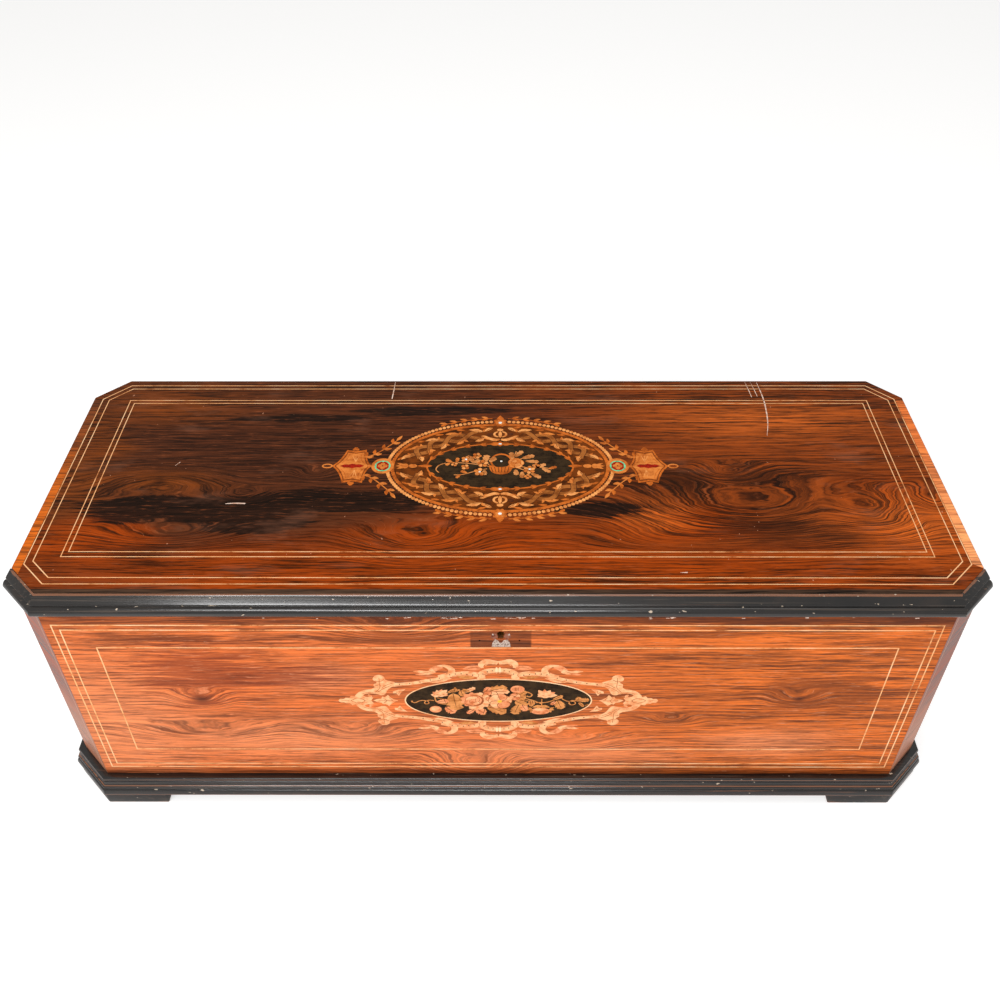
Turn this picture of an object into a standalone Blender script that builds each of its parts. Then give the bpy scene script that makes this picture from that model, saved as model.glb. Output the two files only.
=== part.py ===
"""A cylinder music box: veneered case with canted corners, hinged lid, glass inner lid
and a lever wound movement with cylinder, comb, spring barrel, governor and tune change.

Lengths are metres and angles degrees. X runs right, Y to the back, Z up.
The origin is on the floor, under the middle of the box.
"""
import math

import bmesh
import bpy
from mathutils import Matrix, Vector

# Case
CASE_WIDTH = 0.808
CASE_DEPTH = 0.297
CASE_CANT = 0.030
WALL_HEIGHT = 0.2445
WALL = 0.014
FLOOR_THICKNESS = 0.014
FOOT_HEIGHT = 0.015
FOOT_RUN = 0.054
FOOT_WIDTH = 0.045
FOOT_OUT = 0.0100
PLINTH_HEIGHT = 0.0205
PLINTH_OUT = 0.0115
JOINT_GAP = 0.0003
EDGE_ROUND = 0.0008
CUT_OVERRUN = 0.002
WELD = 0.00001

# Lid, its moulding and its hinges
LID_SIDE_SETBACK = 0.004
LID_SETBACK = 0.0045
LID_CANT = 0.0284
LID_THICKNESS = 0.022
LID_GAP = 0.0005
LID_RIM = 0.022
LID_RECESS = 0.010
MOULDING_OUT = 0.0118
HINGE_LENGTH = 0.070
HINGE_LEAF = 0.0012
HINGE_LEAF_WIDTH = 0.0105
HINGE_KNUCKLE = 0.0030
HINGE_PIN = 0.0012
HINGE_INSET = 0.110
HINGE_CLEARANCE = 0.0003
CARD_WIDTH = 0.210
CARD_DEPTH = 0.140
CARD_THICKNESS = 0.0012

# Lock
KEYHOLE_X = 0.003
KEYHOLE_RADIUS = 0.0032
KEYHOLE_SLOT = 0.0046
KEYHOLE_DROP = 0.0062
KEYHOLE_DEPTH = 0.0216
KEYHOLE_BORE = 0.006
LOCK_WIDTH = 0.045
LOCK_DEPTH = 0.009
LOCK_HEIGHT = 0.032
BOLT_WIDTH = 0.018
BOLT_DEPTH = 0.004
BOLT_HEIGHT = 0.012
BOLT_TRAVEL = 0.005
STRIKE_WIDTH = 0.036
STRIKE_DEPTH = 0.008
STRIKE_THICKNESS = 0.0015

# Inside partitions and the glass lid
PARTITION = 0.008
WINDING_ROOM = 0.102
CONTROL_ROOM = 0.082
PARTITION_DROP = 0.0006
GLASS_LID_DROP = 0.008
GLASS_LID_THICKNESS = 0.010
GLASS_LID_RAIL = 0.018
GLASS_LID_CLEARANCE = 0.001
GLASS_REBATE = 0.004
GLASS_REBATE_DEPTH = 0.0036
PANE_THICKNESS = 0.003
GLASS_PIVOT_RADIUS = 0.0020
GLASS_PIVOT_INSET = 0.012
GLASS_TAIL = 0.008
GLASS_PIVOT_LENGTH = 0.004
KNOB_RADIUS = 0.0055
KNOB_HEIGHT = 0.0072
LEDGE = 0.008

# Bedplate and the comb
BED_WINDING_REACH = 0.047
BED_CONTROL_REACH = 0.042
BED_MARGIN = 0.0245
BED_THICKNESS = 0.008
BED_HEIGHT = 0.080
BEARER_WIDTH = 0.020
BEARER_INSET = 0.090
TOOTH_COUNT = 90
COMB_INSET = 0.006
COMB_THICKNESS = 0.0026
COMB_RISE = 0.0078
COMB_HEEL = 0.030
BASS_TOOTH = 0.045
TREBLE_TOOTH = 0.024
TOOTH_SLOT = 0.0012
TIP_WIDTH = 0.0012
TIP_CLEARANCE = 0.0012
COMB_BASE_DEPTH = 0.024
COMB_SCREW_COUNT = 8
COMB_SCREW_HEAD = 0.0042
COMB_SCREW_SHANK = 0.0022
COMB_SCREW_HEAD_HEIGHT = 0.0024
RUN_CLEARANCE = 0.0002

# Cylinder, its arbor and the great wheel
CYLINDER_OFFSET = 0.012
CYLINDER_HEIGHT = 0.050
CYLINDER_RADIUS = 0.035
CYLINDER_SHELL = 0.0015
CYLINDER_CAP = 0.004
ARBOR_RADIUS = 0.004
JOURNAL_RADIUS = 0.003
SLIDE_CLEARANCE = 0.0003
DRIVE_PINION_TEETH = 14
DRIVE_MODULE = 0.001
DRIVE_PINION_WIDTH = 0.014
GREAT_WHEEL_TEETH = 96
GREAT_WHEEL_MODULE = 0.00075
GREAT_WHEEL_WIDTH = 0.004
GREAT_WHEEL_GAP = 0.012
GREAT_WHEEL_CLEARANCE = 0.004
BRIDGE_THICKNESS = 0.008
BRIDGE_GAP = 0.006
BRIDGE_BOSS = 0.009
BRIDGE_FOOT = 0.018
BRIDGE_FOOT_HEIGHT = 0.005

# Tune change
TUNE_STEPS = 8
TUNE_STEP = 0.0004
SNAIL_RADIUS = 0.0095
SNAIL_BASE = 0.0008
STAR_TIP = 0.0125
STAR_ROOT = 0.0085
STAR_WIDTH = 0.002
SNAIL_OFFSET = 0.024
SNAIL_STUD = 0.0015
FEELER_OFFSET = 0.007
FEELER_RADIUS = 0.0010
FEELER_GAP = 0.0005
DRIVE_PIN_OFFSET = 0.020
DRIVE_PIN_RADIUS = 0.0015
SNAIL_ANGLE = 300.0

# Spring barrel and winding
BARREL_TEETH = 84
BARREL_WIDTH = 0.050
BARREL_GEAR_WIDTH = 0.006
BARREL_DRUM_RADIUS = 0.0398
BARREL_GAP = 0.008
WINDING_ARBOR_RADIUS = 0.006
WINDING_JOURNAL = 0.004
BRACKET_THICKNESS = 0.010
BRACKET_GAP = 0.030
BRACKET_CLEARANCE = 0.004
RATCHET_TEETH = 36
RATCHET_TIP = 0.022
RATCHET_ROOT = 0.020
RATCHET_WIDTH = 0.008
RATCHET_GAP = 0.002
LEVER_LENGTH = 0.098
LEVER_THICKNESS = 0.008
LEVER_WIDTH = 0.011
LEVER_HUB = 0.013
LEVER_REST = 40.0
GRIP_LENGTH = 0.044
GRIP_RADIUS = 0.009
GRIP_TENON = 0.003
PAWL_WIDTH = 0.006
PAWL_PIVOT_OFFSET = 0.031
PAWL_EYE = 0.004
PAWL_STUD = 0.002
PAWL_BACK = 2.0
PAWL_LEAD = 18.0
CLICK_ANGLE = 176.0
CLICK_LEAD = 20.0
CLICK_LIFT = 8.0

# Governor
FIRST_PINION_TEETH = 12
FIRST_WHEEL_TEETH = 60
FIRST_WHEEL_MODULE = 0.0005
SECOND_PINION_TEETH = 10
SCREW_WHEEL_TEETH = 32
SCREW_MODULE = 0.0006
GOVERNOR_WHEEL_WIDTH = 0.0024
GOVERNOR_PINION_WIDTH = 0.007
SECOND_PINION_WIDTH = 0.005
GOVERNOR_ANGLE = 200.0
GOVERNOR_PIVOT = 0.0010
GOVERNOR_SHAFT = 0.0014
GOVERNOR_BORE = 0.00115
SCREW_RINGS = 5
SCREW_CENTRE = 0.0125
SCREW_PITCH_RADIUS = 0.0025
SCREW_LENGTH = 0.012
FRAME_PLATE = 0.003
FRAME_SPAN = 0.042
FRAME_CLEARANCE = 0.078
FRAME_BASE = 0.006
SCREW_PLANE = 0.0205
FLY_SPAN = 0.030
FLY_HEIGHT = 0.013
FLY_THICKNESS = 0.0008
FLY_HUB = 0.0024
FLY_RISE = 0.019
COCK_RISE = 0.008
COCK_WIDTH = 0.010
COCK_THICKNESS = 0.005
MESH_PLAY = 0.0002

# Control levers
ROD_RADIUS = 0.002
ROD_CLEARANCE = 0.0002
STOP_ROD_OFFSET = -0.0845
CHANGE_ROD_OFFSET = 0.0490
ROD_HEIGHT = 0.017
CONTROL_PLATE = 0.006
CONTROL_GAP = 0.012
CONTROL_EAR = 0.008
CONTROL_LEVER = 0.098
CONTROL_LEVER_WIDTH = 0.008
CONTROL_LEVER_THICKNESS = 0.004
CONTROL_KNOB = 0.006
STOP_ARM_WIDTH = 0.004
STOP_ARM_GAP = 0.0016
FINGER_GAP = 0.0010

# Facets round each turned shape, and the angle in radians below which faces count as one flat
FINE_STEPS = 32
MEDIUM_STEPS = 16
SMALL_STEPS = 12
FLAT_ANGLE = 0.01

# Shares of the module for tooth heights, and of the pitch for half a tooth's width
TOOTH_TIP_SHARE = 0.9
TOOTH_ROOT_SHARE = 1.25
TOOTH_FOOT_SHARE = 0.30
LEAF_TIP_SHARE = 0.8
LEAF_ROOT_SHARE = 1.2
LEAF_FOOT_SHARE = 0.26
LEAF_CREST_SHARE = 0.09
THREAD_TIP_SHARE = 0.8
THREAD_ROOT_SHARE = 1.1
THREAD_FOOT_SHARE = 0.62
THREAD_SLOPE_SHARE = 0.30
RATCHET_FACE_SHARE = 0.04
RISER_SHARE = 0.025
STOP_HEIGHT_SHARE = 0.6

# Outline shares: (out, up) for the mouldings, (radius, along) for the turned knobs,
# (depth of a tooth, back from its steep face) for the heel, nose and crown of a pawl
PLINTH_SHARES = [(0.0, 1.0), (0.48, 1.0), (0.58, 0.93), (0.59, 0.84), (0.53, 0.74), (0.55, 0.63),
                 (0.66, 0.53), (0.80, 0.47), (0.83, 0.34), (0.93, 0.26), (1.0, 0.13), (1.0, 0.03),
                 (0.97, 0.0), (0.0, 0.0)]
LID_MOULDING_SHARES = [(0.0, 1.0), (0.06, 1.0), (0.21, 0.91), (0.51, 0.80), (0.76, 0.70),
                       (0.93, 0.57), (1.0, 0.45), (0.96, 0.36), (0.82, 0.24), (0.60, 0.14),
                       (0.40, 0.09), (0.36, 0.0), (0.0, 0.0)]
PAWL_NOSE_SHARES = [(0.75, 0.52), (0.40, 0.20), (1.50, 0.10)]
KNOB_SHARES = [(0.0, 1.0), (0.55, 0.97), (0.90, 0.82), (1.0, 0.62), (0.80, 0.42), (0.42, 0.30),
               (0.42, 0.10), (0.60, 0.0), (0.0, 0.0)]
GRIP_SHARES = [(0.0, 1.0), (0.55, 0.98), (0.85, 0.90), (1.0, 0.72), (0.92, 0.48), (0.70, 0.22),
               (0.62, 0.10), (0.75, 0.05), (0.75, 0.0), (0.0, 0.0)]

# Finishes: colour, roughness, metallic
FINISHES = {
    "rosewood_veneer": ((0.36, 0.13, 0.045), 0.35, 0.0),
    "ebonised_wood": ((0.025, 0.022, 0.020), 0.38, 0.0),
    "pine": ((0.52, 0.36, 0.20), 0.65, 0.0),
    "walnut": ((0.20, 0.10, 0.05), 0.45, 0.0),
    "paper": ((0.80, 0.74, 0.60), 0.85, 0.0),
    "glass": ((0.90, 0.94, 0.93), 0.05, 0.0),
    "brass": ((0.78, 0.58, 0.26), 0.30, 1.0),
    "steel": ((0.52, 0.53, 0.55), 0.28, 1.0),
    "blued_steel": ((0.10, 0.13, 0.22), 0.30, 1.0),
    "cast_iron": ((0.16, 0.15, 0.14), 0.50, 1.0),
}

# Places worked out from the sizes
OVERALL_DEPTH = PLINTH_OUT + CASE_DEPTH + HINGE_CLEARANCE + 2 * HINGE_KNUCKLE
CASE_FRONT = PLINTH_OUT - OVERALL_DEPTH / 2
CASE_BACK = CASE_FRONT + CASE_DEPTH
CASE_MIDDLE = (CASE_FRONT + CASE_BACK) / 2
INSIDE_FRONT = CASE_FRONT + WALL
INSIDE_BACK = CASE_BACK - WALL
RIM = FOOT_HEIGHT + WALL_HEIGHT
FLOOR_TOP = FOOT_HEIGHT + FLOOR_THICKNESS
LID_WIDTH = CASE_WIDTH - 2 * LID_SIDE_SETBACK
LID_BOTTOM = RIM + LID_GAP
LID_TOP = LID_BOTTOM + LID_THICKNESS
LID_FRONT = CASE_FRONT + LID_SETBACK
LID_DEPTH = CASE_BACK - LID_FRONT
LID_MIDDLE = (LID_FRONT + CASE_BACK) / 2
HINGE_Y = CASE_BACK + HINGE_CLEARANCE + HINGE_KNUCKLE
HINGE_Z = RIM + LID_GAP / 2
LEFT_PARTITION_X = WALL + WINDING_ROOM + PARTITION / 2 - CASE_WIDTH / 2
RIGHT_PARTITION_X = CASE_WIDTH / 2 - WALL - CONTROL_ROOM - PARTITION / 2
BED_MIDDLE = (INSIDE_FRONT + INSIDE_BACK) / 2
BED_LEFT = LEFT_PARTITION_X - PARTITION / 2 - BED_WINDING_REACH
BED_RIGHT = RIGHT_PARTITION_X + PARTITION / 2 + BED_CONTROL_REACH
BED_DEPTH = INSIDE_BACK - INSIDE_FRONT - 2 * BED_MARGIN
BED_TOP = BED_HEIGHT + BED_THICKNESS
AXIS_Y = BED_MIDDLE + CYLINDER_OFFSET
AXIS_Z = BED_TOP + CYLINDER_HEIGHT
DRIVE_CENTRES = (BARREL_TEETH + DRIVE_PINION_TEETH) * DRIVE_MODULE / 2 + MESH_PLAY
BARREL_Y = AXIS_Y - DRIVE_CENTRES
BRACKET_RIGHT = LEFT_PARTITION_X - PARTITION / 2 - BRACKET_CLEARANCE
BRACKET_LEFT = BRACKET_RIGHT - BRACKET_THICKNESS
BARREL_LEFT = BRACKET_RIGHT + BRACKET_GAP
BARREL_RIGHT = BARREL_LEFT + BARREL_WIDTH
LEFT_BRIDGE_LEFT = BARREL_RIGHT + BARREL_GAP
LEFT_BRIDGE_RIGHT = LEFT_BRIDGE_LEFT + BRIDGE_THICKNESS
FRAME_RIGHT = RIGHT_PARTITION_X - PARTITION / 2 - FRAME_CLEARANCE
FRAME_LEFT = FRAME_RIGHT - FRAME_SPAN
FRAME_RIGHT_X = FRAME_RIGHT - FRAME_PLATE
SCREW_PLANE_X = FRAME_LEFT + SCREW_PLANE
GREAT_WHEEL_LEFT = FRAME_LEFT - GREAT_WHEEL_CLEARANCE - GREAT_WHEEL_WIDTH
CYLINDER_LEFT = LEFT_BRIDGE_RIGHT + BRIDGE_GAP
CYLINDER_RIGHT = GREAT_WHEEL_LEFT - GREAT_WHEEL_GAP
CYLINDER_LENGTH = CYLINDER_RIGHT - CYLINDER_LEFT
COMB_LENGTH = CYLINDER_LENGTH - 2 * COMB_INSET
RIGHT_BRIDGE_LEFT = GREAT_WHEEL_LEFT + GREAT_WHEEL_WIDTH + RATCHET_GAP * 2
RIGHT_BRIDGE_RIGHT = RIGHT_BRIDGE_LEFT + BRIDGE_THICKNESS
RATCHET_RIGHT = BRACKET_LEFT - RATCHET_GAP
RATCHET_LEFT = RATCHET_RIGHT - RATCHET_WIDTH
LEVER_RIGHT = RATCHET_LEFT - RATCHET_GAP
LEVER_LEFT = LEVER_RIGHT - LEVER_THICKNESS
COMB_BOTTOM = AXIS_Z + COMB_RISE
COMB_TIP_Y = AXIS_Y - math.sqrt(CYLINDER_RADIUS ** 2 - (COMB_RISE + COMB_THICKNESS / 2) ** 2) - TIP_CLEARANCE
COMB_FRONT_Y = COMB_TIP_Y - BASS_TOOTH - COMB_HEEL
COMB_LEFT = CYLINDER_LEFT + COMB_INSET
GLASS_TOP = RIM - GLASS_LID_DROP
GLASS_BOTTOM = GLASS_TOP - GLASS_LID_THICKNESS
GLASS_AXIS_Y = INSIDE_BACK - GLASS_PIVOT_INSET
GLASS_AXIS_Z = (GLASS_TOP + GLASS_BOTTOM) / 2
GLASS_LEFT = LEFT_PARTITION_X + PARTITION / 2 + GLASS_LID_CLEARANCE
GLASS_RIGHT = RIGHT_PARTITION_X - PARTITION / 2 - GLASS_LID_CLEARANCE
GLASS_FRONT = INSIDE_FRONT + GLASS_LID_CLEARANCE
GLASS_BACK = GLASS_AXIS_Y + GLASS_TAIL
KEYHOLE_Z = RIM - KEYHOLE_DEPTH
LOCK_FRONT = INSIDE_FRONT - LOCK_DEPTH
BOLT_Y = LOCK_FRONT + LOCK_DEPTH / 2
STAR_RIGHT = GREAT_WHEEL_LEFT - JOINT_GAP
STAR_LEFT = STAR_RIGHT - STAR_WIDTH
FEELER_END = STAR_LEFT - SNAIL_BASE - FEELER_GAP
FIRST_CENTRES = (GREAT_WHEEL_TEETH + FIRST_PINION_TEETH) * GREAT_WHEEL_MODULE / 2 + MESH_PLAY
FIRST_Y = AXIS_Y + FIRST_CENTRES * math.cos(math.radians(GOVERNOR_ANGLE))
FIRST_Z = AXIS_Z + FIRST_CENTRES * math.sin(math.radians(GOVERNOR_ANGLE))
SECOND_CENTRES = (FIRST_WHEEL_TEETH + SECOND_PINION_TEETH) * FIRST_WHEEL_MODULE / 2 + MESH_PLAY
SECOND_Y = FIRST_Y - SECOND_CENTRES
SECOND_Z = FIRST_Z
SCREW_Y = SECOND_Y - SCREW_CENTRE
STOP_ROD_Y = BED_MIDDLE + STOP_ROD_OFFSET
CHANGE_ROD_Y = BED_MIDDLE + CHANGE_ROD_OFFSET
ROD_Z = BED_TOP + ROD_HEIGHT
CONTROL_LEFT = RIGHT_PARTITION_X + CONTROL_GAP
CONTROL_RIGHT = CONTROL_LEFT + CONTROL_PLATE
FLY_BOTTOM = SECOND_Z + FLY_RISE
COCK_BOTTOM = FLY_BOTTOM + FLY_HEIGHT + COCK_RISE / 4

# Local XY of a flat outline laid in the world's YZ plane, its thickness along X
ACROSS = (math.pi / 2, 0.0, math.pi / 2)

for old in list(bpy.data.objects):
    bpy.data.objects.remove(old, do_unlink=True)
MODEL = bpy.data.collections.new("cylinder_music_box")
CUTTERS = bpy.data.collections.new("cutters")
bpy.context.scene.collection.children.link(MODEL)
bpy.context.scene.collection.children.link(CUTTERS)


def finish_material(finish):
    material = bpy.data.materials.get(finish)
    if material is None:
        colour, roughness, metallic = FINISHES[finish]
        material = bpy.data.materials.new(finish)
        material.use_nodes = True
        shader = material.node_tree.nodes["Principled BSDF"]
        shader.inputs["Base Color"].default_value = (*colour, 1.0)
        shader.inputs["Roughness"].default_value = roughness
        shader.inputs["Metallic"].default_value = metallic
    return material


def add_piece(name, mesh, finish, location=(0.0, 0.0, 0.0), rotation=(0.0, 0.0, 0.0)):
    piece = bpy.data.objects.new(name, mesh)
    piece.location = location
    piece.rotation_euler = rotation
    mesh.materials.clear()
    mesh.materials.append(finish_material(finish))
    MODEL.objects.link(piece)
    return piece


def block(name, low, high, finish, edge=0.0):
    """A rectangular piece between its lowest and highest corners."""
    low, high = Vector(low), Vector(high)
    mesh = bpy.data.meshes.new(name)
    shape = bmesh.new()
    bmesh.ops.create_cube(shape, size=1.0, matrix=Matrix.Diagonal((*(high - low), 1.0)))
    shape.to_mesh(mesh)
    shape.free()
    piece = add_piece(name, mesh, finish, (low + high) / 2)
    soften(piece, edge)
    return piece


def flat(name, loops, thickness, finish, location, rotation=(0.0, 0.0, 0.0), edge=0.0):
    """A plate cut to a flat outline. The first loop is the outside and the others are holes."""
    curve = bpy.data.curves.new(name, "CURVE")
    curve.dimensions = "2D"
    curve.fill_mode = "BOTH"
    curve.extrude = thickness / 2
    for loop in loops:
        spline = curve.splines.new("POLY")
        spline.points.add(len(loop) - 1)
        for point, (across, up) in zip(spline.points, loop):
            point.co = (across, up, 0.0, 1.0)
        spline.use_cyclic_u = True
    guide = bpy.data.objects.new(name + "_outline", curve)
    CUTTERS.objects.link(guide)
    mesh = bpy.data.meshes.new_from_object(guide.evaluated_get(bpy.context.evaluated_depsgraph_get()))
    mesh.name = name
    bpy.data.objects.remove(guide)
    bpy.data.curves.remove(curve)
    shape = bmesh.new()
    shape.from_mesh(mesh)
    bmesh.ops.remove_doubles(shape, verts=shape.verts, dist=WELD)
    bmesh.ops.dissolve_limit(shape, angle_limit=FLAT_ANGLE, verts=shape.verts, edges=shape.edges)
    shape.to_mesh(mesh)
    shape.free()
    piece = add_piece(name, mesh, finish, location, rotation)
    soften(piece, edge)
    return piece


def turned(name, profile, steps, finish, location, rotation=(0.0, 0.0, 0.0), ring=False):
    """A turned piece: profile holds (radius, height) points down its outer side, top to bottom."""
    mesh = bpy.data.meshes.new(name)
    points = [(radius, 0.0, height) for radius, height in profile]
    edges = [(index, index + 1) for index in range(len(points) - 1)]
    if ring:
        edges.append((len(points) - 1, 0))
    mesh.from_pydata(points, edges, [])
    piece = add_piece(name, mesh, finish, location, rotation)
    screw = piece.modifiers.new("turn", "SCREW")
    screw.axis = "Z"
    screw.steps = steps
    screw.render_steps = steps
    screw.use_merge_vertices = True
    screw.merge_threshold = WELD
    screw.use_smooth_shade = True
    return piece


def soften(piece, edge):
    if edge > 0:
        bevel = piece.modifiers.new("edge", "BEVEL")
        bevel.width = edge
        bevel.segments = 1
        bevel.limit_method = "ANGLE"


def shape_with(piece, tool, operation):
    """Cut a piece with a tool, or join the tool to it. The tool follows the piece."""
    boolean = piece.modifiers.new(tool.name, "BOOLEAN")
    boolean.operation = operation
    boolean.object = tool
    tool.parent = piece
    tool.matrix_parent_inverse = piece.matrix_basis.inverted()
    MODEL.objects.unlink(tool)
    CUTTERS.objects.link(tool)
    tool.hide_render = True
    tool.display_type = "WIRE"


def cut(piece, tool):
    shape_with(piece, tool, "DIFFERENCE")


def join(piece, tool):
    shape_with(piece, tool, "UNION")


def pivot(name, place, *pieces):
    """An empty on a joint's axis that carries the pieces which move about it."""
    empty = bpy.data.objects.new(name, None)
    empty.location = place
    MODEL.objects.link(empty)
    for piece in pieces:
        piece.parent = empty
        piece.matrix_parent_inverse = empty.matrix_basis.inverted()


def polar(radius, angle):
    return (radius * math.cos(math.radians(angle)), radius * math.sin(math.radians(angle)))


def circle(radius, steps, centre=(0.0, 0.0), start=0.0):
    points = [polar(radius, start + 360 * index / steps) for index in range(steps)]
    return [(centre[0] + x, centre[1] + y) for x, y in points]


def arc(centre, radius, first, last, steps):
    points = [polar(radius, first + (last - first) * index / steps) for index in range(steps + 1)]
    return [(centre[0] + x, centre[1] + y) for x, y in points]


def octagon(width, depth, cant):
    """The plan of a box whose four corners are cut back by the same amount on both faces."""
    x, y = width / 2, depth / 2
    return [(-x + cant, -y), (x - cant, -y), (x, -y + cant), (x, y - cant),
            (x - cant, y), (-x + cant, y), (-x, y - cant), (-x, -y + cant)]


def wheel_teeth(teeth, module):
    """A wheel's outline with pointed teeth, the first of them at angle zero."""
    pitch = 360 / teeth
    tip = teeth * module / 2 + TOOTH_TIP_SHARE * module
    root = teeth * module / 2 - TOOTH_ROOT_SHARE * module
    outline = []
    for index in range(teeth):
        middle = index * pitch
        outline.append(polar(root, middle - TOOTH_FOOT_SHARE * pitch))
        outline.append(polar(tip, middle))
        outline.append(polar(root, middle + TOOTH_FOOT_SHARE * pitch))
    return outline


def pinion_leaves(leaves, module, phase):
    """A pinion's outline with blunt leaves, the first of them at the phase."""
    pitch = 360 / leaves
    tip = leaves * module / 2 + LEAF_TIP_SHARE * module
    root = leaves * module / 2 - LEAF_ROOT_SHARE * module
    outline = []
    for index in range(leaves):
        middle = phase + index * pitch
        outline.append(polar(root, middle - LEAF_FOOT_SHARE * pitch))
        outline.append(polar(tip, middle - LEAF_CREST_SHARE * pitch))
        outline.append(polar(tip, middle + LEAF_CREST_SHARE * pitch))
        outline.append(polar(root, middle + LEAF_FOOT_SHARE * pitch))
    return outline


def rotated(points, angle):
    """Flat points turned about the origin."""
    cosine, sine = math.cos(math.radians(angle)), math.sin(math.radians(angle))
    return [(x * cosine - y * sine, x * sine + y * cosine) for x, y in points]


def build_case():
    half_width, half_depth = CASE_WIDTH / 2, CASE_DEPTH / 2
    flat_width, flat_depth = half_width - CASE_CANT, half_depth - CASE_CANT
    wall_middle = FOOT_HEIGHT + WALL_HEIGHT / 2

    block("front_panel", (-flat_width, CASE_FRONT, FOOT_HEIGHT), (flat_width, INSIDE_FRONT, RIM),
          "rosewood_veneer")
    block("back_panel", (-flat_width, INSIDE_BACK, FOOT_HEIGHT), (flat_width, CASE_BACK, RIM), "walnut")
    for side, sign in (("left", -1), ("right", 1)):
        outer, inner = sign * half_width, sign * (half_width - WALL)
        block("side_panel_" + side, (min(outer, inner), CASE_MIDDLE - flat_depth, FOOT_HEIGHT),
              (max(outer, inner), CASE_MIDDLE + flat_depth, RIM), "rosewood_veneer")
        for end, turn in (("front", -1), ("back", 1)):
            post = [(flat_width + JOINT_GAP, half_depth - JOINT_GAP),
                    (half_width - JOINT_GAP, flat_depth + JOINT_GAP),
                    (half_width - WALL - JOINT_GAP, flat_depth + JOINT_GAP),
                    (flat_width + JOINT_GAP, half_depth - WALL - JOINT_GAP)]
            flat(f"corner_post_{end}_{side}", [[(sign * x, turn * y) for x, y in post]], WALL_HEIGHT,
                 "rosewood_veneer", (0.0, CASE_MIDDLE, wall_middle))
            foot = foot_outline(half_width, half_depth, FOOT_OUT if end == "front" else 0.0)
            flat(f"foot_{end}_{side}", [[(sign * x, turn * y) for x, y in foot]], FOOT_HEIGHT - JOINT_GAP,
                 "ebonised_wood", (0.0, CASE_MIDDLE, (FOOT_HEIGHT - JOINT_GAP) / 2), edge=EDGE_ROUND)

    inside = octagon(CASE_WIDTH - 2 * (WALL + JOINT_GAP), CASE_DEPTH - 2 * (WALL + JOINT_GAP),
                     CASE_CANT - WALL + 2 * JOINT_GAP)
    flat("bottom_board", [inside], FLOOR_THICKNESS, "pine",
         (0.0, CASE_MIDDLE, FOOT_HEIGHT + FLOOR_THICKNESS / 2))


def foot_outline(half_width, half_depth, out):
    """A bracket foot's plan at the corner where x and y are positive. Its outside follows the cant."""
    x, y = half_width + FOOT_OUT, half_depth + out
    flat_x = half_width - CASE_CANT + FOOT_OUT * math.sqrt(2) - out
    flat_y = half_depth - CASE_CANT + FOOT_OUT * math.sqrt(2) - FOOT_OUT
    end_x, end_y = half_width - CASE_CANT - FOOT_RUN, half_depth - CASE_CANT - FOOT_RUN
    return [(end_x, y), (flat_x, y), (x, flat_y), (x, end_y), (x - FOOT_WIDTH, end_y),
            (x - FOOT_WIDTH, y - FOOT_WIDTH), (end_x, y - FOOT_WIDTH)]


def moulding(name, path, profile, finish):
    """A strip with mitred corners. Path runs along the face it is glued to, profile is (out, height)."""
    path = [Vector(point) for point in path]
    normals = []
    for start, end in zip(path, path[1:]):
        run = (end - start).normalized()
        normals.append(Vector((run.y, -run.x)))
    outward = [normals[0]]
    for before, after in zip(normals, normals[1:]):
        outward.append((before + after) / (1 + before.dot(after)))
    outward.append(normals[-1])
    mesh = bpy.data.meshes.new(name)
    shape = bmesh.new()
    sections = []
    for corner, away in zip(path, outward):
        sections.append([shape.verts.new((*(corner + away * out), height)) for out, height in profile])
    for near, far in zip(sections, sections[1:]):
        for index in range(len(profile)):
            after = (index + 1) % len(profile)
            shape.faces.new((near[index], near[after], far[after], far[index]))
    shape.faces.new(sections[0])
    shape.faces.new(sections[-1])
    bmesh.ops.recalc_face_normals(shape, faces=shape.faces)
    shape.to_mesh(mesh)
    shape.free()
    return add_piece(name, mesh, finish)


def scaled(shares, out, height, base_out, base_height):
    return [(base_out + x * out, base_height + y * height) for x, y in shares]


def build_plinth():
    x, y = CASE_WIDTH / 2, CASE_FRONT
    path = [(-x, CASE_BACK - CASE_CANT), (-x, y + CASE_CANT), (-x + CASE_CANT, y),
            (x - CASE_CANT, y), (x, y + CASE_CANT), (x, CASE_BACK - CASE_CANT)]
    profile = scaled(PLINTH_SHARES, PLINTH_OUT - JOINT_GAP, PLINTH_HEIGHT, JOINT_GAP, FOOT_HEIGHT)
    moulding("plinth_moulding", path, profile, "ebonised_wood")


def keyhole_outline():
    """Round above, with a straight slot below for the key's bit."""
    half = KEYHOLE_SLOT / 2
    spread = math.degrees(math.asin(half / KEYHOLE_RADIUS))
    return [(-half, -KEYHOLE_DROP), (half, -KEYHOLE_DROP)] + arc(
        (0.0, 0.0), KEYHOLE_RADIUS, -90 + spread, 270 - spread, SMALL_STEPS)


def keyhole_cutter(name, front, back):
    """The keyhole's shape standing in the XZ plane, from the case's front inwards."""
    middle = (KEYHOLE_X, (front + back) / 2, KEYHOLE_Z)
    return flat(name, [keyhole_outline()], back - front, "walnut", middle, (math.pi / 2, 0.0, 0.0))


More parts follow.
